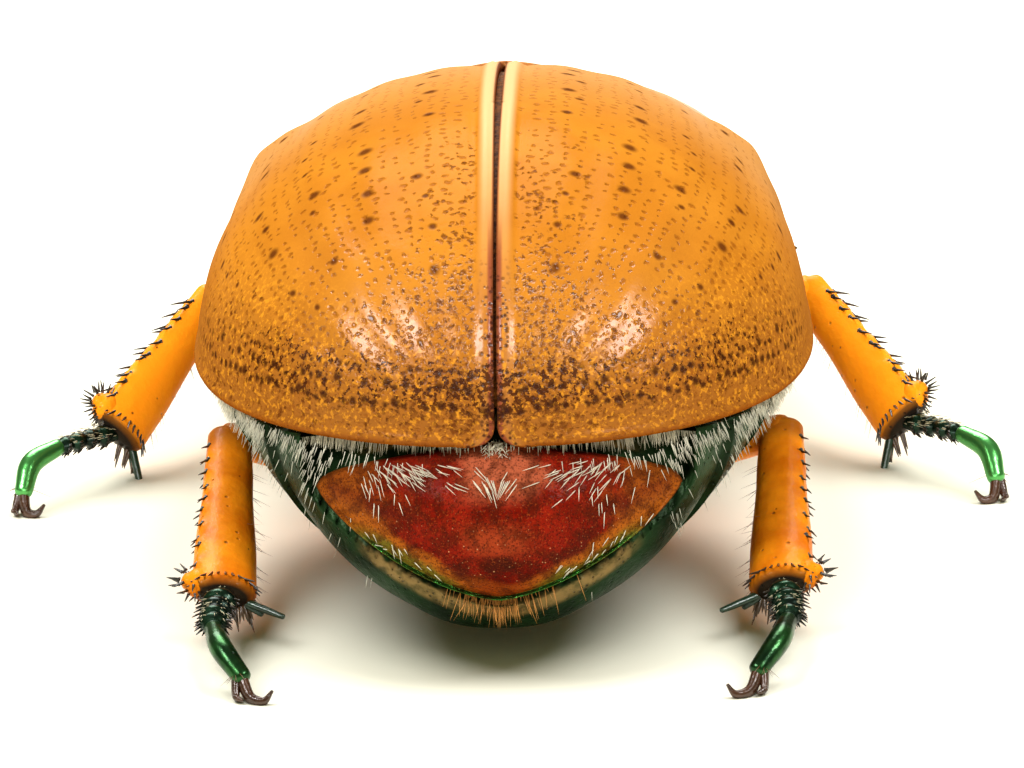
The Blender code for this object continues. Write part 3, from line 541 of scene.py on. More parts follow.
def wing_case():
    """The right wing case: a pitted outer face, a plain inner one, and a rounded edge between."""
    outer, seam = case_points()
    rows, columns = outer.shape[:2]
    normals = grid_normals(outer)
    steps = np.linalg.norm(np.diff(outer, axis=1), axis=2)
    run = np.concatenate([np.zeros((rows, 1)), np.cumsum(steps, 1)], 1)
    margin_gap = run[:, -1:] - run
    round_steps = np.linalg.norm(np.diff(outer[:, -1], axis=0), axis=1)
    margin_run = np.concatenate([[0], np.cumsum(round_steps)])[:, None] + 0 * run
    seam_gap = outer[..., 0] - seam
    width = np.maximum(case_half_width(outer[..., 1]), 0.3)
    turn = np.arcsin(np.clip(outer[..., 0] / width, 0, 1)) / (math.pi / 2)
    along = crest_run(outer[..., 1])
    rows_layer = np.stack([turn * PIT_ROWS * PIT_ROW_SPACING, along, 0 * along], 2)
    edge_layer = np.stack([margin_run, margin_gap, seam_gap], 2)

    ribs = ROW_RIB * np.cos(turn * PIT_ROWS / 2 * math.pi)
    ribs = ribs * np.clip(margin_gap - ROW_RIB_MARGIN, 0, 1)
    relief = relief_height(margin_gap, MARGIN_RELIEF) + relief_height(seam_gap, SEAM_RELIEF)
    face = outer + normals * (relief + ribs)[..., None]
    inner = outer - normals * CASE_WALL
    inner[..., 0] = np.maximum(inner[..., 0], seam)
    inner[..., 2] = np.maximum(inner[..., 2], case_edge_z(inner[..., 1]) - 0.02)
    ring = [(0, c) for c in range(columns)]
    ring += [(r, columns - 1) for r in range(1, rows)]
    ring += [(rows - 1, c) for c in range(columns - 2, -1, -1)]
    ring += [(r, 0) for r in range(rows - 2, 0, -1)]
    count = rows * columns
    flat = [r * columns + c for r, c in ring]
    middle = np.array([(face[r, c] + inner[r, c]) / 2 for r, c in ring])
    faces = grid_faces(rows, columns)
    faces += [tuple(count + i for i in reversed(f)) for f in grid_faces(rows, columns)]
    for k in range(len(ring)):
        after = (k + 1) % len(ring)
        a, b = flat[k], flat[after]
        m, n = 2 * count + k, 2 * count + after
        faces.append((b, a, m, n))
        faces.append((n, m, count + a, count + b))
    points = np.concatenate([face.reshape(-1, 3), inner.reshape(-1, 3), middle])

    def spread(layer):
        """A layer of the outer face, given to the inner face and the edge too."""
        layer = layer.reshape(-1, 3)
        return np.concatenate([layer, layer, layer[flat]])

    layers = {"rows": spread(rows_layer), "edge": spread(edge_layer)}
    return shape_object("wing_case_skin_right", [(points, faces, 0)], [case_finish()], layers)


def seam_lining():
    """The dark tongue and groove that close the slit, seen at its bottom."""
    rings = []
    for y in np.linspace(*LINING_ENDS_Y, 120):
        middle = float(case_height(0.0, y)) - LINING_DROP - LINING_HALF_HEIGHT
        ring = []
        for turn in np.linspace(0, 2 * math.pi, 16, endpoint=False):
            rise = LINING_HALF_HEIGHT * math.sin(turn)
            ring.append((LINING_HALF_WIDTH * math.cos(turn), y, middle + rise))
        rings.append(ring)
    shell = Finish("seam_lining", (0.10, 0.03, 0.008), 0.5, sheen=(0.05, (1.0, 0.6, 0.3)))
    streak = shell.drift(7, 3, 0.4, 0.6)
    shell.blend(CASE_PAINT["lining"], CASE_PAINT["lining streak"], streak)
    finish = shell.done(shell.cloud(9, 3), depth=0.03)
    return shape_object("seam_lining", [(*closed_loft(rings), 0)], [finish])


settle_pair(wing_case(), "wing_cases", "wing_case")
settle(seam_lining(), "wing_cases")

# The underside
# The hind body's overlapping belly plates and the middle body between the legs: hard dark green
# shell with a metallic gloss, finely pitted, with a tan edge under the tail plate.

UP = Vector((0, 0, 1))
BELLY_HALF_WIDTH = 6.5
BELLY_FRONT_INSET = 0.75
BELLY_END_Y = -12.3
WAIST_Y = -1.75
THORAX_FRONT_Y = CASE_BASE_Y - 0.1
BELLY_PLATES = (WAIST_Y - 0.15, -3.4, -5.3, -7.2, -9.0, -10.7)
BELLY_STEP = 0.14
# The belly's lowest line and the roundness of its flanks, each by place along the body.
BELLY_BOTTOMS = ((-12.3, 1.7), (-11.3, 0.68), (-9.0, 0.66), (-3.0, 1.3), (5.0, 1.35))
BELLY_POWERS = ((-10.5, 2.5), (-8.5, 1.95), (-6.0, 1.5), (-3.0, 1.25))
UNDER_CASE_EDGE = 0.12
CORE_INSET = 0.85
TAIL_HALF_WIDTH = 3.95
TAIL_CORNER_Z = 3.55
TAIL_TOP_Z = 4.86
TAIL_BOTTOM_Z = 1.6
# Roundness of the tail plate's outline above and below its corners.
TAIL_POWERS = (1.5, 1.3)
TAIL_REACH_Y = -12.5
TAIL_MOST_BEHIND_Z = 3.2
TAIL_SIDE_CURVE = 0.15
TAIL_TOP_CURVE = 0.45
TAIL_LOW_CURVE = 0.2
TAIL_WALL = 0.45
TAIL_ROOM_FRONT_Y = -9.5
TAIL_ROOM_HALF_WIDTH = 4.2
TAIL_ROOM_GAP = 0.12
PEG_PATH = ((0, 1.2, 1.65), (0, 2.6, 1.5), (0, 4.0, 1.3), (0, 5.4, 1.15))
PEG_RADII = ((0.5, 0.75), (0.5, 0.75), (0.38, 0.5), (0.14, 0.14))


def blend_between(knots, at):
    """A smooth value at a place along (place, value) knots in rising order of place."""
    if at <= knots[0][0]:
        return knots[0][1]
    for (left, low), (right, high) in zip(knots, knots[1:]):
        if at <= right:
            share = (at - left) / (right - left)
            share = share * share * (3 - 2 * share)
            return low + (high - low) * share
    return knots[-1][1]


def powered(value, power):
    """A number raised to a power with its sign kept, for an outline between oval and square."""
    return math.copysign(abs(value) ** power, value)


def belly_half_width(y):
    if y >= CASE_PEAK_Y:
        share = max(0.0, case_front_share(y))
        return BELLY_HALF_WIDTH - BELLY_FRONT_INSET * share**1.7
    share = (CASE_PEAK_Y - y) / (CASE_PEAK_Y - BELLY_END_Y)
    return BELLY_HALF_WIDTH * math.sqrt(max(0.0, 1 - share**2))


def flank_point(y, turn, step=0.0):
    """A point of the underside, at an angle that runs from its left edge down and round."""
    place = min(y, CASE_BASE_Y)
    power = 2 / blend_between(BELLY_POWERS, y)
    side_z = float(case_edge_z(place)) - UNDER_CASE_EDGE
    bottom = blend_between(BELLY_BOTTOMS, y) + step
    drop = max(0.0, math.sin(turn)) ** power
    x = powered(-math.cos(turn), power) * (belly_half_width(place) - step)
    return x, y, side_z - (side_z - bottom) * drop


def body_ring(y, step=0.0, below=72, over=16):
    """The underside from left to right, then back over the hidden top."""
    ring = [flank_point(y, math.pi * k / below, step) for k in range(below + 1)]
    place = min(y, CASE_BASE_Y)
    least = float(case_edge_z(place)) - UNDER_CASE_EDGE + 0.1
    inner = max(0.3, float(case_half_width(place, CORE_INSET)))
    for k in range(over + 1):
        x = inner * math.cos(math.pi * k / over)
        top = float(case_height(x * 0.999, place, CORE_INSET)) if abs(x) < inner else 0
        ring.append((x, y, max(least, top)))
    return ring


def tail_outline(turn):
    """The tail plate's edge, seen from behind, at an angle about its corner line."""
    aside, rise = math.cos(turn), math.sin(turn)
    tall = TAIL_TOP_Z - TAIL_CORNER_Z if rise > 0 else TAIL_CORNER_Z - TAIL_BOTTOM_Z
    power = TAIL_POWERS[0] if rise > 0 else TAIL_POWERS[1]
    reach = (abs(aside / TAIL_HALF_WIDTH) ** power + abs(rise / tall) ** power) ** (-1 / power)
    return reach * aside, TAIL_CORNER_Z + reach * rise


def tail_face_y(x, z):
    lift = z - TAIL_MOST_BEHIND_Z
    curve = np.where(lift > 0, TAIL_TOP_CURVE, TAIL_LOW_CURVE)
    return TAIL_REACH_Y + TAIL_SIDE_CURVE * x * x + curve * lift * lift


def past_tail_edge(x, z):
    """How far outside the tail plate's edge a point is, seen from behind, in mm."""
    edge_x, edge_z = tail_outline(math.atan2(z - TAIL_CORNER_Z, x))
    return math.hypot(x, z - TAIL_CORNER_Z) - math.hypot(edge_x, edge_z - TAIL_CORNER_Z)


def underside_finish():
    """Dark green metallic shell, tan where the last plate folds up to the tail."""
    mossy = (0.1, (0.45, 0.75, 0.3))
    plain = (0.01, 0.03, 0.02)
    shell = Finish("underside_shell", plain, 0.36, metallic=0.3, coat=0.03, sheen=mossy)
    ramp = shell.ramp
    past = shell.point_values("tail")[1]
    deep_green, moss_green = (0.002, 0.006, 0.002), (0.010, 0.028, 0.009)
    shell.blend(deep_green, moss_green, shell.drift(0.8, 4, 0.35, 0.65))
    fold = shell.times(ramp(past, 0.12, 0.22), ramp(past, 0.6, 0.42), ramp(shell.y, -9.6, -10.6))
    streak = shell.drift(3.0, 4, 0.36, 0.6, 0.35, 1.0)
    middle = ramp(shell.calculate("ABSOLUTE", shell.x), 3.2, 2.5)
    tan = shell.lay((0.21, 0.130, 0.045), fold, streak, middle)
    holes = shell.pits(shell.place, 0.13, 0.04, 0.7)
    shell.lay((0.004, 0.006, 0.004), holes, 0.6)
    shell.feed("Metallic", shell.calculate("MULTIPLY_ADD", tan, -0.15, 0.2))
    return shell.done(shell.calculate("SUBTRACT", shell.cloud(5, 4), holes), depth=0.03)


UNDERSIDE = underside_finish()


def plate_inset(y):
    """Each belly plate stands proud at its hind edge and dips under the one before."""
    for start, end in zip(BELLY_PLATES, BELLY_PLATES[1:]):
        if start >= y > end:
            return BELLY_STEP * ((y - end) / (start - end)) ** 1.3
    return 0.0


def belly_skin():
    """The five belly plates, hollowed behind where the tail plate is set in."""
    stations = [WAIST_Y + 0.3, WAIST_Y - 0.1]
    for start, end in zip(BELLY_PLATES, BELLY_PLATES[1:]):
        stations += list(np.linspace(start - 0.005, end + 0.005, 18))
    tail_end = BELLY_END_Y + 0.02
    turns = np.linspace(0, math.pi / 2, 26)[1:]
    stations += [BELLY_PLATES[-1] + (tail_end - BELLY_PLATES[-1]) * math.sin(t) for t in turns]
    points, faces = closed_loft([body_ring(y, plate_inset(y)) for y in stations])
    past = np.array([past_tail_edge(x, z) for x, y, z in points])
    over = (np.abs(points[:, 0]) < TAIL_ROOM_HALF_WIDTH) & (points[:, 2] > TAIL_CORNER_Z)
    room = ((past < TAIL_ROOM_GAP) | over) & (points[:, 1] < TAIL_ROOM_FRONT_Y)
    back = tail_face_y(points[:, 0], np.minimum(points[:, 2], TAIL_TOP_Z)) + TAIL_WALL * 0.75
    back = back + 0.8 * np.clip(points[:, 2] - TAIL_TOP_Z, 0, 1)
    points[room, 1] = np.maximum(points[room, 1], back[room])
    layer = np.stack([past, 0 * past, 0 * past], 1)
    return shape_object("belly_skin", [(points, faces, 0)], [UNDERSIDE], {"tail": layer})


def smooth_path(points, steps):
    """Points on a smooth curve through the given ones, steps to each stretch."""
    points = [Vector(p) for p in points]
    padded = [2 * points[0] - points[1], *points, 2 * points[-1] - points[-2]]
    curve = []
    for a, b, c, d in zip(padded, padded[1:], padded[2:], padded[3:]):
        for step in range(steps):
            t = step / steps
            straight = 2 * b + (c - a) * t
            bend = (2 * a - 5 * b + 4 * c - d) * t**2 + (3 * b - a - 3 * c + d) * t**3
            curve.append(0.5 * (straight + bend))
    return [*curve, points[-1]]


def limb(path, radii, out, sides=24, steps=4, swell=None):
    """A round-ended tube on a smooth path, with (towards out, across) radii at its points.

    swell may add to the radius, from the share of the length and the angle about the path.
    """
    fine = smooth_path(path, steps)
    sizes = smooth_path([(a, b, 0) for a, b in radii], steps)
    out = Vector(out)
    rings = []
    for i, (centre, size) in enumerate(zip(fine, sizes)):
        ahead = fine[min(i + 1, len(fine) - 1)] - fine[max(i - 1, 0)]
        ahead.normalize()
        outward = (out - ahead * out.dot(ahead)).normalized()
        side = ahead.cross(outward)
        share = i / (len(fine) - 1)
        ring = []
        for k in range(sides):
            turn = 2 * math.pi * k / sides
            more = swell(share, turn) if swell else 0
            across = side * math.sin(turn) * (size[1] + more)
            ring.append(centre + outward * math.cos(turn) * (size[0] + more) + across)
        rings.append(ring)
    caps = []
    for end, inner, ring, size in (
        (fine[0], fine[1], rings[0], sizes[0]),
        (fine[-1], fine[-2], rings[-1], sizes[-1]),
    ):
        away = (end - inner).normalized() * min(size[0], size[1]) * 0.7
        cap = []
        for t in (0.4, 0.8, 1.2, 1.45):
            cap.append([end + (p - end) * math.cos(t) + away * math.sin(t) for p in ring])
        caps.append(cap)
    rings = [*reversed(caps[0]), *rings, *caps[1]]
    return closed_loft([[tuple(p) for p in ring] for ring in rings])


def thorax_skin():
    """The middle body, with the peg that points forward between the legs."""
    stations = np.linspace(WAIST_Y - 0.05, THORAX_FRONT_Y + 0.25, 40)
    body = closed_loft([body_ring(y) for y in stations])
    parts = [(*body, 0), (*limb(PEG_PATH, PEG_RADII, UP, 20, 5), 0)]
    return shape_object("thorax_skin", parts, [UNDERSIDE])


settle(belly_skin(), "underside", "belly")
settle(thorax_skin(), "underside", "thorax")

# The tail plate
# The last plate of the back, left bare by the wing cases: a wide triangle of deep red shell with
# blunt corners and copper sides, fine grain, and a raised metallic green rim along its lower edge.

TAIL_CENTRE_Z = 3.3
# Height, half width, place and half height of the swelling low on the plate and the dip above.
TAIL_SWELLS = ((0.16, 1.1, 2.6, 0.7), (-0.06, 0.9, 3.5, 0.4))
# Height, place and half width of the rim and the groove inside it, as shares of the way out.
TAIL_RIM_RELIEF = ((0.1, 0.968, 0.022), (-0.05, 0.925, 0.03))
# How far back, and how far in towards the middle, each ring of the plate's edge lies.
TAIL_EDGE_RINGS = ((0.12, 0.003), (0.28, 0.012), (TAIL_WALL, 0.04))
TAIL_PAINT = {
    "deep red": (0.120, 0.0035, 0.001),
    "red": (0.200, 0.009, 0.003),
    "painted rosy sheen": (0.36, 0.085, 0.036),
    "rosy middle": (0.33, 0.060, 0.016),
    "copper side": (0.23, 0.058, 0.006),
    "wine streak": (0.10, 0.008, 0.003),
    "orange band": (0.33, 0.082, 0.007),
    "olive band": (0.13, 0.10, 0.010),
    "dark heart": (0.055, 0.006, 0.003),
    "dark stain": (0.080, 0.008, 0.004),
    "green rim": (0.035, 0.18, 0.030),
    "black edge": (0.012, 0.010, 0.004),
    "grain": (0.05, 0.006, 0.003),
    "painted_sparkle": (0.80, 0.40, 0.18),
    "soft shade": (0.04, 0.006, 0.002),
    "dark fleck": (0.03, 0.004, 0.002),
    "bright fleck": (0.42, 0.08, 0.015),
}


def tail_finish():
    """Deep red shell with copper and olive sides, dark stains, grain with painted sparkles, a painted
    rosy sheen at the top, and a green rim.
    """
    shell = Finish("tail_shell", (0.2, 0.02, 0.01), 0.4, coat=0.02, sheen=(0.02, (1.0, 0.35, 0.2)))
    ramp, drift, times, calculate = shell.ramp, shell.drift, shell.times, shell.calculate
    z = shell.z
    _, share, rise, _ = shell.point_values("plate")
    aside = calculate("ABSOLUTE", shell.x)
    wave = calculate("SUBTRACT", shell.cloud(0.9, 4), 0.5)
    wander = calculate("MULTIPLY_ADD", wave, 0.4, share)
    wide = calculate("MULTIPLY_ADD", wave, 2.0, aside)
    low_side = ramp(rise, 0.2, -0.2)
    grain = shell.pits(shell.place, 0.05, 0.024, 0.8)
    # Painted glints: small bright pink specks laid in colour as sparkles of light on the grain.
    painted_sparkle = shell.pits(shell.place, 0.11, 0.02, 0.6)
    rim = times(ramp(share, 0.932, 0.945), ramp(rise, -0.18, -0.35))
    streak = times(ramp(z, 3.3, 3.5), ramp(z, 3.85, 3.65), ramp(wide, 1.5, 2.2))
    heart = times(ramp(z, 2.9, 2.75), ramp(z, 2.25, 2.4), ramp(wide, 0.75, 0.35))
    stain = times(ramp(share, 0.45, 0.6), ramp(share, 0.78, 0.7), low_side)
    middle = times(ramp(z, 2.6, 3.1), ramp(z, 3.7, 3.2, 0, 0.45))

    shell.blend(TAIL_PAINT["deep red"], TAIL_PAINT["red"], drift(1.4, 4, 0.36, 0.62))
    for name, *masks in (
        # Painted sheen: a rosy glow laid over the top middle of the plate.
        ("painted rosy sheen", ramp(z, 3.75, 4.3, 0, 0.85), ramp(wide, 1.2, 0.5)),
        ("rosy middle", middle, ramp(wide, 1.1, 0.2)),
        ("copper side", ramp(wide, 2.1, 2.9, 0, 0.8), ramp(rise, -0.35, 0.0)),
        ("wine streak", streak, ramp(wide, 3.8, 3.4)),
        ("orange band", ramp(wander, 0.64, 0.76), low_side, ramp(aside, 0.2, 1.2, 0.4, 1.0)),
        ("olive band", ramp(wander, 0.77, 0.88), ramp(rise, -0.1, -0.3), ramp(aside, 0.5, 1.2)),
        ("dark heart", heart, drift(2.4, 4, 0.42, 0.58)),
        ("dark stain", stain, drift(1.7, 4, 0.5, 0.62, 0, 0.8)),
        ("green rim", rim),
        ("black edge", ramp(share, 0.985, 0.995), low_side),
        ("grain", grain, ramp(rim, 0.0, 1.0, 0.6, 0.1)),
        ("painted_sparkle", painted_sparkle, ramp(z, 3.6, 3.0, 0.15, 0.85), ramp(share, 0.85, 0.7)),
        ("soft shade", drift(3.2, 4, 0.44, 0.62, 0, 0.6)),
        ("dark fleck", drift(20, 2, 0.52, 0.66, 0, 0.6)),
        ("bright fleck", drift(24, 2, 0.58, 0.72, 0, 0.35)),
    ):
        shell.lay(TAIL_PAINT[name], *masks)
    shell.feed("Metallic", times(rim, 0.9))
    shell.feed("Roughness", ramp(rim, 0, 1, 0.42, 0.2))
    return shell.done(calculate("SUBTRACT", shell.cloud(9, 3), times(grain, 0.8)), depth=0.014)


def tail_place(turn, share):
    """A point of the tail plate's outer face, by its angle and its share of the way out."""
    x, z = tail_outline(turn)
    x, z = x * share, TAIL_CENTRE_Z + (z - TAIL_CENTRE_Z) * share
    swell = 0.0
    for height, width, middle, tall in TAIL_SWELLS:
        swell += height * math.exp(-((x / width) ** 2 + ((z - middle) / tall) ** 2))
    lower = min(1, max(0, (TAIL_CORNER_Z + 0.2 - z) / 0.5))
    rim = relief_height(share, TAIL_RIM_RELIEF) * lower
    return Vector((x, float(tail_face_y(x, z)) - swell - rim, z))


def tail_skin(spokes=200, hoops=70):
    """The plate's grained outer face, with a rounded edge drawn in to its back."""
    turns = [2 * math.pi * k / spokes for k in range(spokes)]
    rings, layer = [], []
    for hoop in range(1, hoops + 1):
        share = math.sin(math.pi / 2 * hoop / hoops)
        rings.append([tail_place(turn, share) for turn in turns])
        layer += [(share, math.sin(turn), 0.0) for turn in turns]
    for back, inward in TAIL_EDGE_RINGS:
        ring = []
        for turn in turns:
            edge = tail_place(turn, 1.0)
            centre = Vector((0, edge.y, TAIL_CENTRE_Z))
            ring.append(edge.lerp(centre, inward) + Vector((0, back, 0)))
        rings.append(ring)
        layer += [(1.0, math.sin(turn), 0.0) for turn in turns]
    points, faces = closed_loft([[tuple(p) for p in ring] for ring in rings])
    layer += [(0.0, 0.0, 0.0), (1.0, 0.0, 0.0)]
    return shape_object("tail_skin", [(points, faces, 0)], [tail_finish()], {"plate": layer})


settle(tail_skin(), "tail_plate", "tail_plate")

# The hairs
# Stiff white and gold hairs of hollow shell, each thin, straight and tapered, that lie back
# along the plate they grow from.

PATCH_WIDTH = 0.003
HAIR_LAYERS = ("lie", "away", "girth", "home")
# The tail plate's size in the map that gives each hair its own small patch.
TAIL_MAP_SIZE = (8.5, 4.5)
TAIL_DIRECTIONS = 140
DRIFT_HAIRS = 150
MIDDLE_HAIRS = 22
STRAY_HAIRS = 26
LOW_HAIRS = 26
TAIL_HAIR_WIDTH = 0.028
FRINGE_HAIRS = 105
FRINGE_HAIR_WIDTH = 0.02
FELT_TRIES = 15000
COMB_TRIES = 3000
FELT_HAIR_WIDTH = 0.021
TUFT_HAIRS = 80
TUFT_HAIR_WIDTH = 0.022


def hair_blade(sides=3, rings=5):
    """One hair of unit length and unit thickness along +Z. Its blade layer is its flat patch."""
    points, spread = [], []
    for i in range(rings):
        share = i / (rings - 1)
        radius = 0.5 * (1 - 0.82 * share**1.5)
        for k in range(sides):
            turn = 2 * math.pi * k / sides
            points.append((radius * math.cos(turn), radius * math.sin(turn), share))
            spread.append((k / sides, share, 0))
    faces = grid_faces(rings, sides, closed=True)
    faces.append(tuple(reversed(range(sides))))
    faces.append(tuple((rings - 1) * sides + k for k in range(sides)))
    mesh = bpy.data.meshes.new("hair_blade")
    mesh.from_pydata(points, [], faces)
    add_vectors(mesh, "blade", spread)
    mesh.shade_smooth()
    return bpy.data.objects.new("hair_blade", mesh)


def hair_tree():
    """Sets a copy of a hair on each point along lie, its first side turned towards away."""
    group = bpy.data.node_groups.new("hairs", "GeometryNodeTree")
    for label, kind in (
        ("Geometry", "NodeSocketGeometry"),
        ("Hair", "NodeSocketObject"),
        ("Finish", "NodeSocketMaterial"),
        ("Patch Width", "NodeSocketFloat"),
    ):
        group.interface.new_socket(label, in_out="INPUT", socket_type=kind)
    group.interface.new_socket("Geometry", in_out="OUTPUT", socket_type="NodeSocketGeometry")
    tree = Nodes(group)
    given = tree.node("NodeGroupInput", {})

    def named(label):
        kind = "GeometryNodeInputNamedAttribute"
        return tree.node(kind, {"Name": label}, data_type="FLOAT_VECTOR")["Attribute"]

    hair = tree.node("GeometryNodeObjectInfo", {"Object": given["Hair"]})
    align = "FunctionNodeAlignRotationToVector"
    along = tree.node(align, {"Vector": named("lie")}, axis="Z")
    inputs = {"Rotation": along["Rotation"], "Vector": named("away")}
    turned_to = tree.node(align, inputs, axis="X", pivot_axis="Z")
    inputs = {
        "Points": given["Geometry"],
        "Instance": hair["Geometry"],
        "Rotation": turned_to["Rotation"],
        "Scale": named("girth"),
    }
    copies = tree.node("GeometryNodeInstanceOnPoints", inputs)
    real = tree.node("GeometryNodeRealizeInstances", {"Geometry": copies["Instances"]})
    inputs = {0: named("blade"), "Scale": given["Patch Width"]}
    patch = tree.node("ShaderNodeVectorMath", inputs, operation="SCALE")
    inputs = {
        "Name": "OFBake",
        "Geometry": real["Geometry"],
        "Value": tree.vector("ADD", named("home"), patch[0]),
    }
    store = "GeometryNodeStoreNamedAttribute"
    stored = tree.node(store, inputs, data_type="FLOAT2", domain="CORNER")
    inputs = {"Geometry": stored["Geometry"], "Material": given["Finish"]}
    dressed = tree.node("GeometryNodeSetMaterial", inputs)
    tree.node("NodeGroupOutput", {"Geometry": dressed["Geometry"]})
    return group


HAIR_BLADE = hair_blade()
HAIR_TREE = hair_tree()


def grow_hairs(name, roots, finish, slot):
    """Real hairs from (root, lie, away, length, width, home) entries, all sizes in mm."""
    mesh = bpy.data.meshes.new(name + "_roots")
    mesh.from_pydata([tuple(root * MM) for root, *_ in roots], [], [])
    layers = []
    for _, lie, away, length, width, (u, v) in roots:
        layers.append((lie, away, (width * MM, width * MM, length * MM), (u, v, 0)))
    for label, values in zip(HAIR_LAYERS, zip(*layers)):
        add_vectors(mesh, label, values)
    made = put(name, mesh)
    modifier = made.modifiers.new("hairs", "NODES")
    modifier.node_group = HAIR_TREE
    wanted = {"Hair": HAIR_BLADE, "Finish": finish, "Patch Width": PATCH_WIDTH}
    for socket in HAIR_TREE.interface.items_tree:
        if socket.in_out == "INPUT" and socket.name in wanted:
            modifier[socket.identifier] = wanted[socket.name]
    bpy.context.view_layer.update()
    graph = bpy.context.evaluated_depsgraph_get()
    real = bpy.data.meshes.new_from_object(made.evaluated_get(graph))
    made.modifiers.clear()
    made.data = real
    real.name = name
    for label in (*HAIR_LAYERS, "blade"):
        layer = real.attributes.get(label)
        if layer:
            real.attributes.remove(layer)
    settle(made, slot)


def hair_finish(name, colour):
    """Satin hair, a little darker in places."""
    hair = Finish(name, colour, 0.45)
    hair.blend(tuple(c * 0.72 for c in colour), colour, hair.drift(4, 2, 0.3, 0.7))
    return hair.done()


WHITE_HAIR = hair_finish("white_hair", (0.80, 0.74, 0.58))
# Painted shade: a darker copy of the white hair, for the felt that lies in the shade under the wing
# cases' edge.
SHADED_WHITE_HAIR = hair_finish("grey_hair", (0.60, 0.57, 0.45))
GOLD_HAIR = hair_finish("gold_hair", (0.72, 0.30, 0.06))


def tail_frame(turn, share):
    """Place and outward normal on the tail plate."""
    here = tail_place(turn, share)
    aside = tail_place(turn + 0.02, share) - here
    outer = tail_place(turn, share + 0.01) - here
    normal = aside.cross(outer).normalized()
    return here, -normal if normal.y > 0 else normal


def tail_hairs():
    """Two slanting drifts of hairs, a small V at the middle, and strays."""
    draw = random.Random(21)
    roots = []
    edges = []
    for k in range(TAIL_DIRECTIONS):
        edge_x, edge_z = tail_outline(2 * math.pi * k / TAIL_DIRECTIONS)
        edge_z -= TAIL_CENTRE_Z
        edges.append((math.atan2(edge_z, edge_x), math.hypot(edge_x, edge_z), k))

    def plant(x, z, lie, length):
        """One hair at a place seen from behind, unless that is off the plate."""
        turn = math.atan2(z - TAIL_CENTRE_Z, x)
        _, reach, k = min(edges, key=lambda e: abs(math.remainder(e[0] - turn, 2 * math.pi)))
        share = math.hypot(x, z - TAIL_CENTRE_Z) / reach
        if share > 0.97:
            return
        here, normal = tail_frame(2 * math.pi * k / TAIL_DIRECTIONS, share)
        flat = Vector(lie)
        flat = (flat - normal * flat.dot(normal)).normalized()
        lift = draw.uniform(0.12, 0.4)
        direction = (flat + normal * lift).normalized()
        home = (0.5 + x / TAIL_MAP_SIZE[0], 0.5 + (z - 3) / TAIL_MAP_SIZE[1])
        root = here - direction * 0.02
        roots.append((root, direction, normal, length, TAIL_HAIR_WIDTH, home))

    for _ in range(DRIFT_HAIRS):
        side = draw.choice((-1, 1))
        x = side * min(3.5, max(0.9, draw.gauss(2.05, 0.62)))
        z = 4.52 - 0.075 * (abs(x) - 1.0) ** 2 - abs(draw.gauss(0, 0.2))
        lie = (-side * draw.uniform(0.5, 1.1), 0, -0.75)
        plant(x, z, lie, draw.uniform(0.3, 0.5))
    for _ in range(MIDDLE_HAIRS):
        side = draw.choice((-1, 1))
        x = side * draw.uniform(0.05, 0.5)
        z = 4.28 + draw.gauss(0, 0.09) + 0.2 * abs(x)
        plant(x, z, (-side * (0.1 + abs(x)), 0, -1), draw.uniform(0.35, 0.55))
    for _ in range(STRAY_HAIRS):
        side = draw.choice((-1, 1))
        x = side * draw.uniform(1.6, 3.6)
        z = draw.uniform(2.6, 4.1)
        plant(x, z, (-side * 0.35, 0, -1), draw.uniform(0.22, 0.4))
    for _ in range(LOW_HAIRS):
        side = draw.choice((-1, 1))
        x = side * draw.uniform(1.3, 2.9)
        z = 2.12 + 0.42 * (abs(x) - 1.2) + draw.uniform(-0.05, 0.25)
        plant(x, z, (-side * 0.8, 0, -0.5), draw.uniform(0.14, 0.26))
    return roots


def tail_fringe():
    """Gold bristles that hang from the lowest part of the tail plate's edge."""
    draw = random.Random(5)
    roots = []
    for _ in range(FRINGE_HAIRS):
        turn = -math.pi / 2 + draw.gauss(0, 0.24)
        edge = tail_place(turn, 0.99)
        aside = math.cos(turn) * 0.6 + draw.gauss(0, 0.18)
        lie = Vector((aside, -0.35 + draw.gauss(0, 0.2), -1)).normalized()
        root = edge + Vector((0, 0.18, 0.02))
        home = (0.5 + edge.x / TAIL_MAP_SIZE[0], 0.08)
        length = draw.uniform(0.3, 0.75)
        roots.append((root, lie, Vector((0, -1, 0)), length, FRINGE_HAIR_WIDTH, home))
    return roots


def belly_frame(y, turn):
    """A point of the belly's side at an angle from its left edge, with its normal."""

    def at(y, turn):
        return Vector(flank_point(y, turn, plate_inset(y)))

    here = at(y, turn)
    around = at(y, turn + 0.01) - here
    along = at(y - 0.01, turn) - here
    normal = along.cross(around).normalized()
    outward = Vector((here.x, (here.y + 6) * 0.3, here.z - 4.2))
    return here, normal if normal.dot(outward) > 0 else -normal


def belly_hairs():
    """Felt of white hair painted darker as painted shade under the wing cases' edge, with patches down
    each belly plate's side.
    """
    draw = random.Random(8)
    roots = []
    for _ in range(FELT_TRIES):
        y = draw.uniform(-12.1, WAIST_Y)
        turn = draw.uniform(0, 0.5 * math.pi) * draw.random() ** 0.5
        if draw.random() < 0.5:
            turn = math.pi - turn
        here, normal = belly_frame(y, turn)
        if past_tail_edge(here.x, here.z) < 0.15 and y < TAIL_ROOM_FRONT_Y:
            continue
        low = float(case_edge_z(y)) - here.z
        plate = math.sin((y + 1.6) * 2 * math.pi / 1.85)
        chance = 1.0 if low < 0.4 else 0.5 * math.exp(-(low - 0.4) / 0.6)
        if low > 0.4:
            chance *= 0.1 + 0.9 * (plate > 0.2)
        if draw.random() > chance:
            continue
        lie = Vector((here.x * 0.03, -0.45, -1)) + normal * 0.35
        lie += Vector((draw.gauss(0, 0.12), draw.gauss(0, 0.12), 0))
        home = (0.02 + 0.96 * turn / math.pi, 0.02 + 0.9 * (y + 12.5) / 11)
        length = draw.uniform(0.16, 0.32)
        roots.append((here, lie.normalized(), normal, length, FELT_HAIR_WIDTH, home))
    return roots


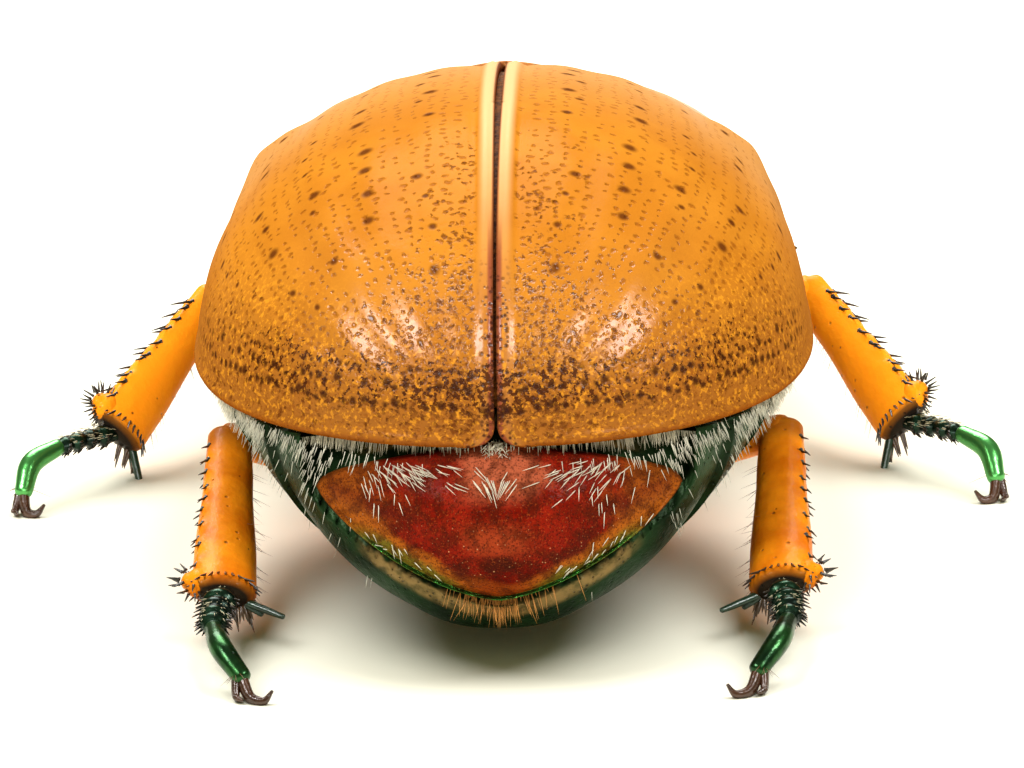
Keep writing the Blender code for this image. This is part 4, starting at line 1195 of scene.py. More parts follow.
def edge_fringe():
    """A dense comb of white hairs under the wing cases' hind edge, and a tuft at their seam."""
    draw = random.Random(13)
    roots = []
    for _ in range(COMB_TRIES):
        turn = draw.uniform(-0.5 * math.pi, 0.5 * math.pi)
        aside = math.sin(turn)
        behind = math.cos(turn)
        inset = draw.uniform(0.2, 0.55)
        reach = rear_reach(aside, behind, inset)
        x, y = aside * reach, CASE_PEAK_Y - behind * reach
        if y > -6 or (abs(x) < 3.3 and draw.random() < 0.62):
            continue
        width, length = CASE_HALF_WIDTH - inset, CASE_PEAK_Y - CASE_APEX_Y - inset
        out = Vector((aside / width, -behind / length, 0)).normalized()
        lie = out * draw.uniform(0.1, 0.35) + Vector((draw.gauss(0, 0.1), 0, -1))
        home = (0.5 + turn / math.pi * 0.95, 0.95)
        long = draw.uniform(0.2, 0.36) if abs(x) < 2.4 else draw.uniform(0.28, 0.45)
        root = Vector((x, y, float(case_edge_z(y)) + 0.03))
        roots.append((root, lie.normalized(), out, long, FELT_HAIR_WIDTH, home))
    for _ in range(TUFT_HAIRS):
        root = Vector((draw.gauss(0, 0.15), draw.uniform(-11.4, -11.2), draw.uniform(4.7, 4.98)))
        lie = Vector((draw.gauss(0, 0.45), -0.8, -0.1)).normalized()
        length = draw.uniform(0.15, 0.3)
        roots.append((root, lie, UP, length, TUFT_HAIR_WIDTH, (0.5, 0.97)))
    return roots


grow_hairs("tail_hairs", tail_hairs(), WHITE_HAIR, "tail_plate")
grow_hairs("tail_fringe", tail_fringe(), GOLD_HAIR, "tail_plate")
grow_hairs("belly_hairs", belly_hairs(), SHADED_WHITE_HAIR, "underside")
grow_hairs("edge_fringe", edge_fringe(), WHITE_HAIR, "underside")

# The legs
# Each leg is a row of hollow shell tubes: a short root, a flat thigh, a spiny shin with a crown
# of spines and two spurs, four beads and a long end piece that carries two unequal claws.

LEGS = {
    "hind": {
        "coxa": ((2.3, -2.35, 1.35), (1.75, 0.8, 0.62)),
        "hip": (1.9, -2.75, 0.95),
        "knee": (6.15, -4.35, 2.45),
        "ankle": (6.05, -9.75, 1.0),
        "out": (1, 0, 0.25),
        "femur": (1.0, 0.5),
        "tibia": (0.5, 0.72, 0.42),
        "tarsus": ((6.06, -10.0, 0.98), (6.17, -10.9, 1.0), (6.18, -11.7, 0.98)),
        "foot": ((6.16, -11.85, 0.97), (5.95, -12.7, 0.86), (5.5, -13.3, 0.45)),
        "claw": ((5.5, -13.3, 0.4), (5.32, -13.62, 0.1), (5.02, -13.76, 0.08), (4.84, -13.66, 0.26)),
        "short_claw": ((5.62, -13.3, 0.36), (5.62, -13.55, 0.11), (5.48, -13.74, 0.09)),
        "spur": (-0.85, -0.42, -0.1),
        "teeth": (),
    },
    "middle": {
        "coxa": ((2.05, 1.5, 1.35), (1.0, 1.0, 0.62)),
        "hip": (2.1, 1.55, 1.05),
        "knee": (6.9, 2.8, 3.2),
        "ankle": (8.95, -0.1, 1.15),
        "out": (0.5, 0.1, 0.9),
        "femur": (0.9, 0.5),
        "tibia": (0.46, 0.72, 0.42),
        "tarsus": ((9.1, -0.3, 1.08), (9.65, -0.75, 1.15), (10.2, -1.2, 1.15)),
        "foot": ((10.3, -1.28, 1.15), (10.85, -1.85, 0.98), (11.02, -2.35, 0.5)),
        "claw": ((11.02, -2.35, 0.45), (10.95, -2.6, 0.1), (10.72, -2.68, 0.08), (10.54, -2.6, 0.26)),
        "short_claw": ((11.12, -2.3, 0.38), (11.2, -2.52, 0.11), (11.14, -2.72, 0.09)),
        "spur": (-0.3, -0.3, -0.9),
        "teeth": (),
    },
    "fore": {
        "coxa": ((1.75, 6.9, 1.85), (1.05, 0.85, 0.65)),
        "hip": (1.9, 7.0, 1.5),
        "knee": (4.6, 9.35, 3.0),
        "ankle": (5.7, 11.7, 1.0),
        "out": (1, -0.3, 0.3),
        "femur": (0.88, 0.5),
        "tibia": (0.46, 0.66, 0.4),
        "tarsus": ((5.74, 11.9, 0.95), (5.88, 12.5, 0.92), (6.0, 13.0, 0.85)),
        "foot": ((6.01, 13.07, 0.84), (6.08, 13.4, 0.72), (5.97, 13.65, 0.45)),
        "claw": ((5.96, 13.6, 0.42), (5.88, 13.75, 0.1), (5.66, 13.83, 0.08), (5.48, 13.7, 0.26)),
        "short_claw": ((6.08, 13.55, 0.36), (6.18, 13.7, 0.11), (6.14, 13.87, 0.09)),
        "spur": (-0.6, 0.3, -0.5),
        "teeth": ((0.5, 0.3), (0.73, 0.42), (0.95, 0.55)),
    },
}
# Shares of the thigh's width and thickness from hip to knee.
THIGH_WIDTHS = (0.62, 0.86, 1.0, 0.95, 0.78, 0.55, 0.46)
THIGH_DEPTHS = (0.85, 1.0, 1.05, 1.0, 0.95, 0.85, 0.75)
# How far the shin has widened on its way down, and at what angles its two rows of spines stand.
SHIN_GROWTH = ((0.0, 0.0), (0.3, 0.25), (0.85, 0.9), (1.0, 1.0))
SHIN_RIDGES = (-0.5, 0.42)
SHIN_SCALLOPS = 8
RIDGE_SPINES = 10
SPINE_RADIUS = 0.024
SPINE_FOOT_RADIUS = 0.048
BOLD_SPINES = 1.4
CROWN_SPINES = 26
CROWN_SPINE_RADIUS = 0.03
LOBE_SPINES = 24
ANKLE_BRISTLES = 9
ANKLE_BRISTLE_RADIUS = 0.06
# Where each bead ends, as shares of the row of beads.
BEAD_STOPS = (0, 0.28, 0.53, 0.77, 1.0)
BEAD_SPINES = 14
SMALL_BEADS = 0.74
END_RADII = (0.2, 0.255, 0.21)
CLAW_ROOT_RADIUS = 0.17
SHORT_CLAW_SIZE = 0.85
FORK_RADII = ((0.1, 0.08), (0.07, 0.05), (0.03, 0.02))
SHIN_HAIRS = 30
SHIN_HAIR_WIDTH = 0.013
CLAW_HAIRS = 8
CLAW_HAIR_WIDTH = 0.016
BEAD_HAIRS = 60
BEAD_HAIR_WIDTH = 0.018


def leg_finish():
    """Glossy orange-brown shell, wrinkled across, darker where it is thick, with painted light that
    makes the middle and fore legs brighter.
    """
    amber = (0.1, (1.0, 0.55, 0.16))
    shell = Finish("leg_shell", (0.7, 0.25, 0.02), 0.38, coat=0.025, sheen=amber)
    shell.feed("Subsurface Weight", 0.15)
    shell.feed("Subsurface Radius", (0.0006, 0.0002, 0.0001))
    ramp, y, z = shell.ramp, shell.y, shell.z
    shell.blend((0.58, 0.130, 0.002), (0.80, 0.235, 0.006), shell.drift(0.9, 4, 0.35, 0.65))
    # Painted light: the middle and fore legs are painted brighter, as if they were lit more strongly
    # than the hind legs.
    painted_light_ahead = ramp(y, -3.6, -2.6, 0.0, 0.85)
    shell.lay((0.98, 0.29, 0.008), painted_light_ahead)
    knee = shell.times(ramp(z, 1.9, 2.5), ramp(y, -5.4, -4.6), ramp(y, -3.2, -3.6, 0.0, 0.6))
    shell.lay((0.13, 0.035, 0.005), knee)
    specks = shell.pits(shell.place, 0.28, 0.05, 0.5)
    shell.lay((0.18, 0.05, 0.01), specks, 0.8)
    shell.lay((0.010, 0.007, 0.005), shell.point_values("dark")[1])
    return shell.done(shell.calculate("SUBTRACT", shell.cloud(3.2, 3), specks), depth=0.03)


def foot_finish(name, dark, light, bright=0.0):
    """Very dark green metal gloss, with a painted reflection that makes the feet further forward
    brighter green, by an amount.
    """
    shell = Finish(name, light, 0.28, metallic=0.85, coat=0.1)
    shell.blend(dark, light, shell.drift(1.6, 3, 0.35, 0.65))
    # Painted reflection: the feet further forward are painted a brighter green.
    shell.lay((0.10, 0.42, 0.10), shell.ramp(shell.y, -5.0, -3.5, 0.0, bright))
    specks = shell.pits(shell.place, 0.15, 0.025, 0.5)
    shell.lay((0.002, 0.006, 0.004), specks)
    return shell.done(shell.calculate("SUBTRACT", shell.cloud(6, 3), specks), depth=0.012)


def plain_shell(name, colour, roughness, metallic=0.0):
    """A small part's shell: one colour that drifts lighter and darker, with a fine grain."""
    shell = Finish(name, colour, roughness, metallic, coat=0.3)
    spread = 0.35
    dark = tuple(c * (1 - spread) for c in colour)
    light = tuple(min(1.0, c * (1 + spread)) for c in colour)
    shell.blend(dark, light, shell.drift(3.0, 4, 0.3, 0.7))
    return shell.done(shell.cloud(12.0, 3), depth=0.012)


LEG = leg_finish()
FOOT = foot_finish("foot_shell", (0.003, 0.010, 0.006), (0.008, 0.034, 0.014))
# The 0.75 is the strength of the painted reflection on the feet further forward.
END = foot_finish("end_shell", (0.004, 0.022, 0.006), (0.018, 0.085, 0.018), 0.75)
SPINE = plain_shell("spine_shell", (0.022, 0.016, 0.010), 0.28, 0.2)
SPUR = plain_shell("spur_shell", (0.010, 0.028, 0.014), 0.3, 0.2)
BRISTLE = plain_shell("bristle_shell", (0.075, 0.040, 0.018), 0.35)
CLAW = plain_shell("claw_shell", (0.050, 0.018, 0.008), 0.25, 0.1)
BROWN_HAIR = hair_finish("brown_hair", (0.16, 0.07, 0.025))
IVORY_HAIR = hair_finish("ivory_hair", (0.74, 0.66, 0.42))


def egg(centre, radii, hoops, spokes):
    """An egg-shaped skin of level hoops, from its lowest to its highest."""
    rings = []
    for i in range(1, hoops):
        tilt = math.pi * i / hoops
        ring = []
        for k in range(spokes):
            turn = 2 * math.pi * k / spokes
            x = centre[0] + radii[0] * math.sin(tilt) * math.cos(turn)
            y = centre[1] + radii[1] * math.sin(tilt) * math.sin(turn)
            ring.append((x, y, centre[2] - radii[2] * math.cos(tilt)))
        rings.append(ring)
    return closed_loft(rings)


def spike(root, towards, length, radius, bend=(0, 0, 0), sides=7, steps=6):
    """A slender curved spine with a swollen root."""
    root, towards, bend = Vector(root), Vector(towards).normalized(), Vector(bend)
    side = towards.cross(UP if abs(towards.z) < 0.9 else Vector((1, 0, 0))).normalized()
    other = towards.cross(side)
    turns = [2 * math.pi * i / sides for i in range(sides)]
    rings = []
    for k in range(steps + 1):
        share = k / steps
        centre = root + towards * length * (share - 0.08) + bend * length * share**2
        size = radius * (1 - share) ** 0.75 * (1 + 0.35 * math.exp(-share * 9)) + 0.008
        ring = [centre + (side * math.cos(t) + other * math.sin(t)) * size for t in turns]
        rings.append([tuple(p) for p in ring])
    return closed_loft(rings)


def shin_frame(leg):
    """The shin's two ends, and its ways ahead, out and aside."""
    knee, ankle = Vector(leg["knee"]), Vector(leg["ankle"])
    ahead = (ankle - knee).normalized()
    out = Vector(leg["out"])
    out = (out - ahead * out.dot(ahead)).normalized()
    return knee, ankle, ahead, out, ahead.cross(out)


def shin_size(leg, share):
    thin, wide, thick = leg["tibia"]
    return thin + (wide - thin) * blend_between(SHIN_GROWTH, share), thick * (0.82 + 0.25 * share)


def shin_swell(share, turn):
    """The scalloped ridges that the shin's two rows of spines stand on."""
    more = 0.0
    for ridge in SHIN_RIDGES:
        off = math.remainder(turn - ridge, 2 * math.pi)
        wave = 0.5 + 0.5 * math.cos(share * 2 * math.pi * SHIN_SCALLOPS)
        more += 0.05 * math.exp(-((off / 0.16) ** 2)) * wave * min(1, share * 4)
    return more


def leg_shape(name, parts, finishes):
    """A leg piece from (points, faces, finish index, darkness) parts."""
    values = []
    for points, _, _, dark in parts:
        column = np.broadcast_to(np.asarray(dark, float), len(points))
        values.append(np.stack([column, 0 * column, 0 * column], 1))
    shapes = [part[:3] for part in parts]
    return shape_object(name, shapes, finishes, {"dark": np.concatenate(values)})


def shin(leg, place, seed):
    """The shin: two rows of dark spines, a toothed crown, an outer lobe and two spurs."""
    draw = random.Random(seed)
    knee, ankle, ahead, out, side = shin_frame(leg)
    steps = 8
    path = [knee.lerp(ankle, k / steps) for k in range(steps + 1)]
    sizes = [shin_size(leg, k / steps) for k in range(steps + 1)]
    bold = BOLD_SPINES if place == "middle" else 1.0
    body, faces = limb(path, sizes, out, 48, 8, shin_swell)
    away = (body - np.array(knee)) @ np.array(ahead) / (ankle - knee).length
    parts = [(body, faces, 0, np.clip((away - 1.005) / 0.03, 0, 1))]

    def add(shape, slot=1, dark=0.0):
        parts.append((*shape, slot, dark))

    for share in np.linspace(0.12, 0.88, RIDGE_SPINES):
        broad, thick = shin_size(leg, share)
        for ridge in SHIN_RIDGES:
            lean = ridge + draw.uniform(-0.07, 0.07)
            along = share + draw.uniform(-0.025, 0.025)
            rim = out * broad * math.cos(lean) + side * thick * math.sin(lean)
            root = knee.lerp(ankle, along) + rim
            towards = rim.normalized() + ahead * draw.uniform(0.7, 1.2)
            length = draw.uniform(0.18, 0.3) * bold
            add(spike(root, towards, length, SPINE_RADIUS * bold, ahead * 0.15))
            add(spike(root - ahead * 0.03, towards, 0.08, SPINE_FOOT_RADIUS))
    broad, thick = shin_size(leg, 1.0)
    for k in range(CROWN_SPINES):
        turn = math.radians(-165 + 330 * k / (CROWN_SPINES - 1))
        rim = out * broad * 0.9 * math.cos(turn) + side * thick * 0.95 * math.sin(turn)
        towards = ahead * draw.uniform(0.7, 1.1) + rim.normalized() * draw.uniform(0.5, 0.9)
        length = draw.uniform(0.2, 0.36) * (1.25 if abs(turn) > 2 else 1)
        add(spike(ankle - ahead * 0.06 + rim, towards, length, CROWN_SPINE_RADIUS))
    if not leg["teeth"]:
        lobe = ankle + out * broad * 0.92 - ahead * 0.12
        lobe_path = [lobe - out * 0.3, lobe, lobe + out * 0.16]
        add(limb(lobe_path, [(0.3, 0.3), (0.34, 0.3), (0.2, 0.18)], ahead, 20, 4), 0)
        for k in range(LOBE_SPINES):
            turn = math.radians(-130 + 260 * k / (LOBE_SPINES - 1))
            rim = out * 0.34 * math.cos(turn) + ahead * 0.32 * math.sin(turn)
            root = lobe + rim + side * draw.uniform(-0.15, 0.15)
            lean = side * draw.uniform(-0.4, 0.4)
            add(spike(root, rim.normalized() + lean, draw.uniform(0.18, 0.3), SPINE_RADIUS))
    for share, reach in leg["teeth"]:
        broad, thick = shin_size(leg, share)
        root = knee.lerp(ankle, share) + out * broad * 0.45
        shape = spike(root, out + ahead * 0.35, broad * 0.55 + reach, 0.34, ahead * 0.12, 16, 12)
        tip = (shape[0] - np.array(root)) @ np.array(out) / (broad * 0.55 + reach)
        add(shape, 0, np.clip((tip - 0.45) / 0.4, 0, 1))
    spur = Vector(leg["spur"]).normalized()
    root = ankle - ahead * 0.05 - out * broad * 0.45 - UP * 0.18
    for turn, reach in ((0.0, 1.1), (-0.25, 0.6)):
        towards = spur + side * turn + ahead * 0.15
        path = [root, root + towards * reach * 0.55, root + towards * reach]
        add(limb(path, [(0.09, 0.1), (0.085, 0.09), (0.06, 0.065)], UP, 12, 6), 2)
    for _ in range(ANKLE_BRISTLES):
        towards = ahead * draw.uniform(0.6, 1.1) - out * draw.uniform(-0.1, 0.7) - UP * 0.7
        start = ankle - out * broad * draw.uniform(0.0, 0.7) - UP * draw.uniform(0.05, 0.3)
        length = draw.uniform(0.45, 0.7)
        add(spike(start, towards, length, ANKLE_BRISTLE_RADIUS, -UP * 0.1), 3)
    return leg_shape(f"{place}_shin_skin_right", parts, [LEG, SPINE, SPUR, BRISTLE])


def thigh(leg, place):
    hip, knee = Vector(leg["hip"]), Vector(leg["knee"])
    broad, thick = leg["femur"]
    path = [hip.lerp(knee, share) for share in np.linspace(0, 1, len(THIGH_WIDTHS))]
    radii = [(broad * w, thick * d) for w, d in zip(THIGH_WIDTHS, THIGH_DEPTHS)]
    shape = limb(path, radii, (knee - hip).cross(UP), 40, 7)
    return leg_shape(f"{place}_thigh_skin_right", [(*shape, 0, 0.0)], [LEG])


def leg_root(leg, place):
    return shape_object(f"{place}_root_skin_right", [(*egg(*leg["coxa"], 20, 36), 0)], [UNDERSIDE])


def beads(leg, place, seed):
    """Four beads, each with a skirt of short spines at its far end."""
    draw = random.Random(seed)
    curve = smooth_path(leg["tarsus"], 16)
    stops = [curve[round(share * 32)] for share in BEAD_STOPS]
    parts = []
    for number, (a, b) in enumerate(zip(stops, stops[1:])):
        ahead = (b - a).normalized()
        side = ahead.cross(UP).normalized()
        size = (1 - 0.06 * number) * (1.0 if place == "hind" else SMALL_BEADS)
        path = [a - ahead * 0.08, a.lerp(b, 0.35), b - ahead * 0.1, b + ahead * 0.05]
        radii = [(0.21, 0.23), (0.27, 0.3), (0.32, 0.38), (0.23, 0.27)]
        radii = [(high * size, wide * size) for high, wide in radii]
        parts.append((*limb(path, radii, UP, 24, 5), 0))
        for k in range(BEAD_SPINES):
            turn = math.radians(-200 + 220 * k / (BEAD_SPINES - 1))
            rim = side * 0.35 * size * math.cos(turn) + UP * 0.29 * size * math.sin(turn)
            towards = ahead * 0.9 + rim.normalized() * draw.uniform(0.4, 1.0)
            root = b - ahead * 0.1 + rim
            length = draw.uniform(0.15, 0.32) * size
            parts.append((*spike(root, towards, length, SPINE_RADIUS), 1))
    return shape_object(f"{place}_bead_skin_right", parts, [FOOT, SPINE])


def end_piece(leg, place):
    """The long last piece, dark green and shining, with a long and a short forked claw."""
    parts = [(*limb(leg["foot"], [(w, w) for w in END_RADII], UP, 28, 10), 0)]

    def add_claw(path, radii, sides, steps):
        """A claw, flat where it stands on the floor."""
        points, faces = limb(path, radii, UP, sides, steps)
        points[:, 2] = np.maximum(points[:, 2], 0.0)
        parts.append((points, faces, 1))

    for key, size in (("claw", 1.0), ("short_claw", SHORT_CLAW_SIZE)):
        last = len(leg[key]) - 1
        radii = []
        for k in range(last + 1):
            radius = CLAW_ROOT_RADIUS * size * (1 - 0.78 * (k / last) ** 1.4)
            radii.append((radius, radius * 0.8))
        add_claw(leg[key], radii, 16, 7)
    root, bend, end = (Vector(p) for p in leg["short_claw"])
    tip = bend + (end - bend) * 0.4 + Vector((0.1, 0, 0.06))
    add_claw([root, bend.lerp(tip, 0.5), tip], FORK_RADII, 12, 5)
    return shape_object(f"{place}_end_skin_right", parts, [END, CLAW])


def leg_hairs(leg, seed):
    """Long fine hairs at the claws, and a sparse row inside the shin."""
    draw = random.Random(seed)
    knee, ankle, ahead, out, side = shin_frame(leg)
    roots = []
    for _ in range(SHIN_HAIRS):
        share = draw.uniform(0.2, 0.95)
        broad, thick = shin_size(leg, share)
        turn = math.pi + draw.gauss(0, 0.35)
        rim = out * broad * math.cos(turn) + side * thick * math.sin(turn)
        towards = (rim.normalized() + ahead * draw.uniform(0.5, 1.1)).normalized()
        root = knee.lerp(ankle, share) + rim * 0.97
        home = (0.5 + draw.gauss(0, 0.03), 0.1 + 0.6 * share)
        length = draw.uniform(0.25, 0.5)
        roots.append((root, towards, ahead, length, SHIN_HAIR_WIDTH, home))
    end = Vector(leg["foot"][-1])
    forward = (end - Vector(leg["foot"][-2])).normalized()
    for _ in range(CLAW_HAIRS):
        aside = Vector((draw.gauss(0, 0.5), draw.gauss(0, 0.5), draw.uniform(-0.1, 0.5)))
        towards = (forward * 0.7 + aside).normalized()
        root = end + aside.normalized() * 0.2
        reach = draw.uniform(0.25, 0.5)
        if (root + towards * reach).z < 0.03:
            continue
        roots.append((root, towards, UP, reach, CLAW_HAIR_WIDTH, (0.5, 0.95)))
    return roots


def bead_hairs(leg, seed):
    """Short ivory bristles on the beads' upper faces."""
    draw = random.Random(seed)
    curve = smooth_path(leg["tarsus"], 16)
    roots = []
    for _ in range(BEAD_HAIRS):
        step = draw.randrange(0, len(curve) - 1)
        ahead = (curve[step + 1] - curve[step]).normalized()
        side = ahead.cross(UP).normalized()
        turn = math.radians(draw.uniform(10, 170))
        rim = side * math.cos(turn) * 0.3 + UP * math.sin(turn) * 0.26
        towards = (ahead + rim.normalized() * draw.uniform(0.2, 0.6)).normalized()
        home = (0.5 + 0.3 * math.cos(turn), 0.75 + 0.15 * step / len(curve))
        length = draw.uniform(0.14, 0.3)
        root = curve[step] + rim * 0.92
        roots.append((root, towards, rim.normalized(), length, BEAD_HAIR_WIDTH, home))
    return roots


def turned(roots, flip):
    """Hair roots for a leg, or for its mirror twin when flip is -1."""
    across = Vector((flip, 1, 1))
    return [(root * across, lie * across, away * across, *rest) for root, lie, away, *rest in roots]


for leg_index, (place, leg) in enumerate(LEGS.items()):
    for piece, slot, node in (
        (leg_root(leg, place), "underside", "coxa"),
        (thigh(leg, place), "legs", "femur"),
        (shin(leg, place, 31 + leg_index), "legs", "tibia"),
        (beads(leg, place, 41 + leg_index), "feet", "tarsus"),
        (end_piece(leg, place), "feet", "foot"),
    ):
        settle_pair(piece, slot, f"{place}_{node}")
    for label, flip in (("right", 1), ("left", -1)):
        brown = turned(leg_hairs(leg, 51 + leg_index), flip)
        grow_hairs(f"{place}_leg_hairs_{label}", brown, BROWN_HAIR, "legs")
        ivory = turned(bead_hairs(leg, 61 + leg_index), flip)
        grow_hairs(f"{place}_bead_hairs_{label}", ivory, IVORY_HAIR, "feet")

# The front body and the head
# One shell ring carries the neck shield above and the fore legs below, and the head sits deep in
# it, bowed forward, with black eyes, elbowed feelers that end in three leaves, and mouth feelers.

COLLAR_BASE_Y = CASE_BASE_Y + 0.3
COLLAR_FRONT_Y = 9.6
COLLAR_HALF_WIDTH = 5.75
COLLAR_FRONT_HALF_WIDTH = 3.2
COLLAR_TOP_Z = 7.95
COLLAR_FRONT_TOP_Z = 6.1
COLLAR_EDGE_Z = 4.6
# The collar's lowest line from back to front, and its roundness above and below the edge.
COLLAR_BOTTOMS = ((0.0, 1.9), (0.5, 1.8), (1.0, 2.5))
COLLAR_POWERS = (2.1, 1.6)
SHIELD_HALF_WIDTH = 1.25
SHIELD_LENGTH = 1.4
SHIELD_HALF_COLUMNS = 12
HEAD_COLUMNS = 72
# Place along the body, half width, top and bottom of each ring of the head.
HEAD_STATIONS = (
    (8.5, 2.1, 5.7, 3.3),
    (9.5, 2.55, 5.85, 2.9),
    (10.2, 2.65, 5.75, 2.7),
    (10.9, 2.45, 5.3, 2.7),
    (11.5, 2.1, 4.75, 2.85),
    (12.1, 1.85, 4.2, 3.1),
    (12.5, 1.7, 3.95, 3.3),
    (12.75, 1.45, 4.05, 3.45),
)
# Centre and radii of the mouth parts' lump and of the eye.
MOUTH = ((0, 11.2, 2.7), (1.15, 0.8, 0.6))
EYE = ((2.62, 10.35, 4.75), (0.72, 0.85, 0.85))
FEELER_SOCKET = (1.7, 10.9, 3.9)
FEELER_PATH = ((2.25, 11.2, 3.7), (2.8, 11.55, 3.4), (3.15, 11.75, 3.15), (3.5, 11.9, 2.95))
FEELER_WIDTHS = (0.3, 0.34, 0.26, 0.24, 0.3)
FEELER_REACH = Vector((0.8, 0.5, -0.25)).normalized()
FEELER_RINGS = (0.12, 0.28, 0.44)
LEAF_LENGTH = 1.8
LEAF_SPREAD = math.radians(30)
LEAF_RADII = ((0.14, 0.1), (0.24, 0.13), (0.4, 0.15), (0.44, 0.15), (0.24, 0.1))
MOUTH_FEELER_PATH = ((1.0, 10.9, 2.6), (1.5, 11.9, 2.1), (1.45, 12.8, 2.35))
MOUTH_FEELER_WIDTHS = (0.2, 0.23, 0.2, 0.16, 0.22, 0.24, 0.17, 0.24, 0.16)


def front_finish(name, light, dark):
    """Red-brown shell, dark green beneath, with close fine pits."""
    warm = (0.25, (1.0, 0.65, 0.35))
    shell = Finish(name, light, 0.34, metallic=0.1, coat=0.16, sheen=warm)
    shell.blend(dark, light, shell.drift(0.5, 4, 0.35, 0.65))
    shell.lay((0.03, 0.06, 0.035), shell.ramp(shell.z, 4.4, 3.9), 0.85)
    small = shell.pits(shell.place, 0.22, 0.06, 0.75)
    shell.lay((0.10, 0.03, 0.008), small, 0.8)
    shell.lay((0.14, 0.04, 0.010), shell.pits(shell.place, 0.12, 0.034, 0.8), 0.6)
    swell = shell.times(shell.cloud(2, 3), 1.2)
    return shell.done(shell.calculate("SUBTRACT", swell, small), depth=0.03)


def collar_ring(y, count=120):
    share = min(1.0, max(0.0, (y - COLLAR_BASE_Y) / (COLLAR_FRONT_Y - COLLAR_BASE_Y)))
    bulge = (1 - share**1.9) ** 0.85
    width = COLLAR_FRONT_HALF_WIDTH + (COLLAR_HALF_WIDTH - COLLAR_FRONT_HALF_WIDTH) * bulge
    top = COLLAR_TOP_Z - (COLLAR_TOP_Z - COLLAR_FRONT_TOP_Z) * share**1.25
    bottom = blend_between(COLLAR_BOTTOMS, share)
    ring = []
    for k in range(count):
        turn = 2 * math.pi * k / count
        rise = math.sin(turn)
        power = COLLAR_POWERS[0] if rise > 0 else COLLAR_POWERS[1]
        lift = abs(rise) ** (2 / power)
        z = COLLAR_EDGE_Z + ((top if rise > 0 else bottom) - COLLAR_EDGE_Z) * lift
        rim = 0.05 * math.exp(-(((z - COLLAR_EDGE_Z) / 0.12) ** 2))
        ring.append((powered(math.cos(turn), 2 / power) * (width + rim), y, z))
    return ring


def rounded_ends(rings, depth, steps=5):
    """Rings that draw in before the first ring and after the last, to round a skin's ends."""
    rings = [np.array(ring, float) for ring in rings]
    out = []
    for ring, inner in ((rings[0], rings[1]), (rings[-1], rings[-2])):
        centre = ring.mean(0)
        away = np.sign(ring.mean(0)[1] - inner.mean(0)[1])
        extra = []
        for t in np.linspace(0, math.pi / 2, steps + 1)[1:]:
            drawn = centre + (ring - centre) * (1 - 0.06 * (1 - math.cos(t)))
            drawn[:, 1] += away * depth * math.sin(t)
            extra.append(drawn)
        out.append(extra)
    return [*reversed(out[0]), *rings, *out[1]]


def collar_skin():
    stations = np.linspace(COLLAR_BASE_Y - 0.05, COLLAR_FRONT_Y - 0.1, 60)
    rings = rounded_ends([collar_ring(y) for y in stations], 0.14)
    finish = front_finish("collar_shell", (0.55, 0.22, 0.06), (0.36, 0.12, 0.035))
    return shape_object("collar_skin", [(*closed_loft(rings), 0)], [finish])


def shield_skin():
    """The small plate between the wing cases."""
    rings = []
    for share in np.linspace(0, 1, 30):
        y = CASE_BASE_Y + 0.1 - (SHIELD_LENGTH + 0.1) * share
        width = SHIELD_HALF_WIDTH * (1 - share**1.7) ** 0.8 + 0.02
        ring = []
        for k in range(2 * SHIELD_HALF_COLUMNS + 1):
            x = width * (1 - k / SHIELD_HALF_COLUMNS)
            edge = 1 - abs(x / width) ** 6
            top = float(case_height(x, min(y, CASE_BASE_Y))) + 0.02 + 0.06 * edge
            ring.append((x, y, top))
        for k in range(2 * SHIELD_HALF_COLUMNS + 1):
            x = width * (k / SHIELD_HALF_COLUMNS - 1)
            ring.append((x, y, float(case_height(x, min(y, CASE_BASE_Y))) - 0.5))
        rings.append(ring)
    finish = front_finish("shield_shell", (0.50, 0.19, 0.05), (0.34, 0.11, 0.03))
    return shape_object("shield_skin", [(*closed_loft(rings), 0)], [finish])


def head_skin():
    """The head's blunt box with a cross groove on its brow, and the lump of mouth parts below."""
    fine = smooth_path([(y, w, t) for y, w, t, _ in HEAD_STATIONS], 8)
    floor = smooth_path([(y, b, 0) for y, _, _, b in HEAD_STATIONS], 8)
    rings = []
    for (y, width, top), (_, bottom, _) in zip(fine, floor):
        middle, half = (top + bottom) / 2, (top - bottom) / 2
        ring = []
        for k in range(HEAD_COLUMNS):
            turn = 2 * math.pi * k / HEAD_COLUMNS
            x = powered(math.cos(turn), 0.85) * width
            z = powered(math.sin(turn), 0.85) * half
            suture = 0.05 * math.exp(-(((y - 11.2) / 0.06) ** 2)) * (z > 0)
            ring.append((x, y, middle + z - suture))
        rings.append(ring)
    finish = front_finish("head_shell", (0.42, 0.15, 0.045), (0.26, 0.09, 0.03))
    parts = [(*closed_loft(rounded_ends(rings, 0.1)), 0), (*egg(*MOUTH, 16, 32), 0)]
    return shape_object("head_skin", parts, [finish])


def eye_skin():
    """A black lens with rows of tiny facets."""
    lens = Finish("eye_shell", (0.012, 0.009, 0.008), 0.2, coat=0.5)
    facets = lens.pits(lens.place, 0.06, 0.045, 1.0, 0.25)
    lens.blend((0.010, 0.008, 0.007), (0.035, 0.022, 0.015), facets)
    finish = lens.done(facets, depth=0.003)
    return shape_object("eye_skin_right", [(*egg(*EYE, 32, 48), 0)], [finish])


FEELER = plain_shell("feeler_shell", (0.36, 0.12, 0.035), 0.35)


def feeler_stalk_skin():
    """The elbowed stalk, with three short rings before the leaves."""
    path = [FEELER_SOCKET, *FEELER_PATH]
    parts = [(*limb(path, [(w, w) for w in FEELER_WIDTHS], UP, 20, 6), 0)]
    for reach in FEELER_RINGS:
        centre = Vector(FEELER_PATH[-1]) + FEELER_REACH * reach
        ring_path = [centre - FEELER_REACH * 0.07, centre, centre + FEELER_REACH * 0.07]
        parts.append((*limb(ring_path, [(0.2, 0.2), (0.25, 0.25), (0.2, 0.2)], UP, 16, 3), 0))
    return shape_object("feeler_stalk_skin_right", parts, [FEELER])


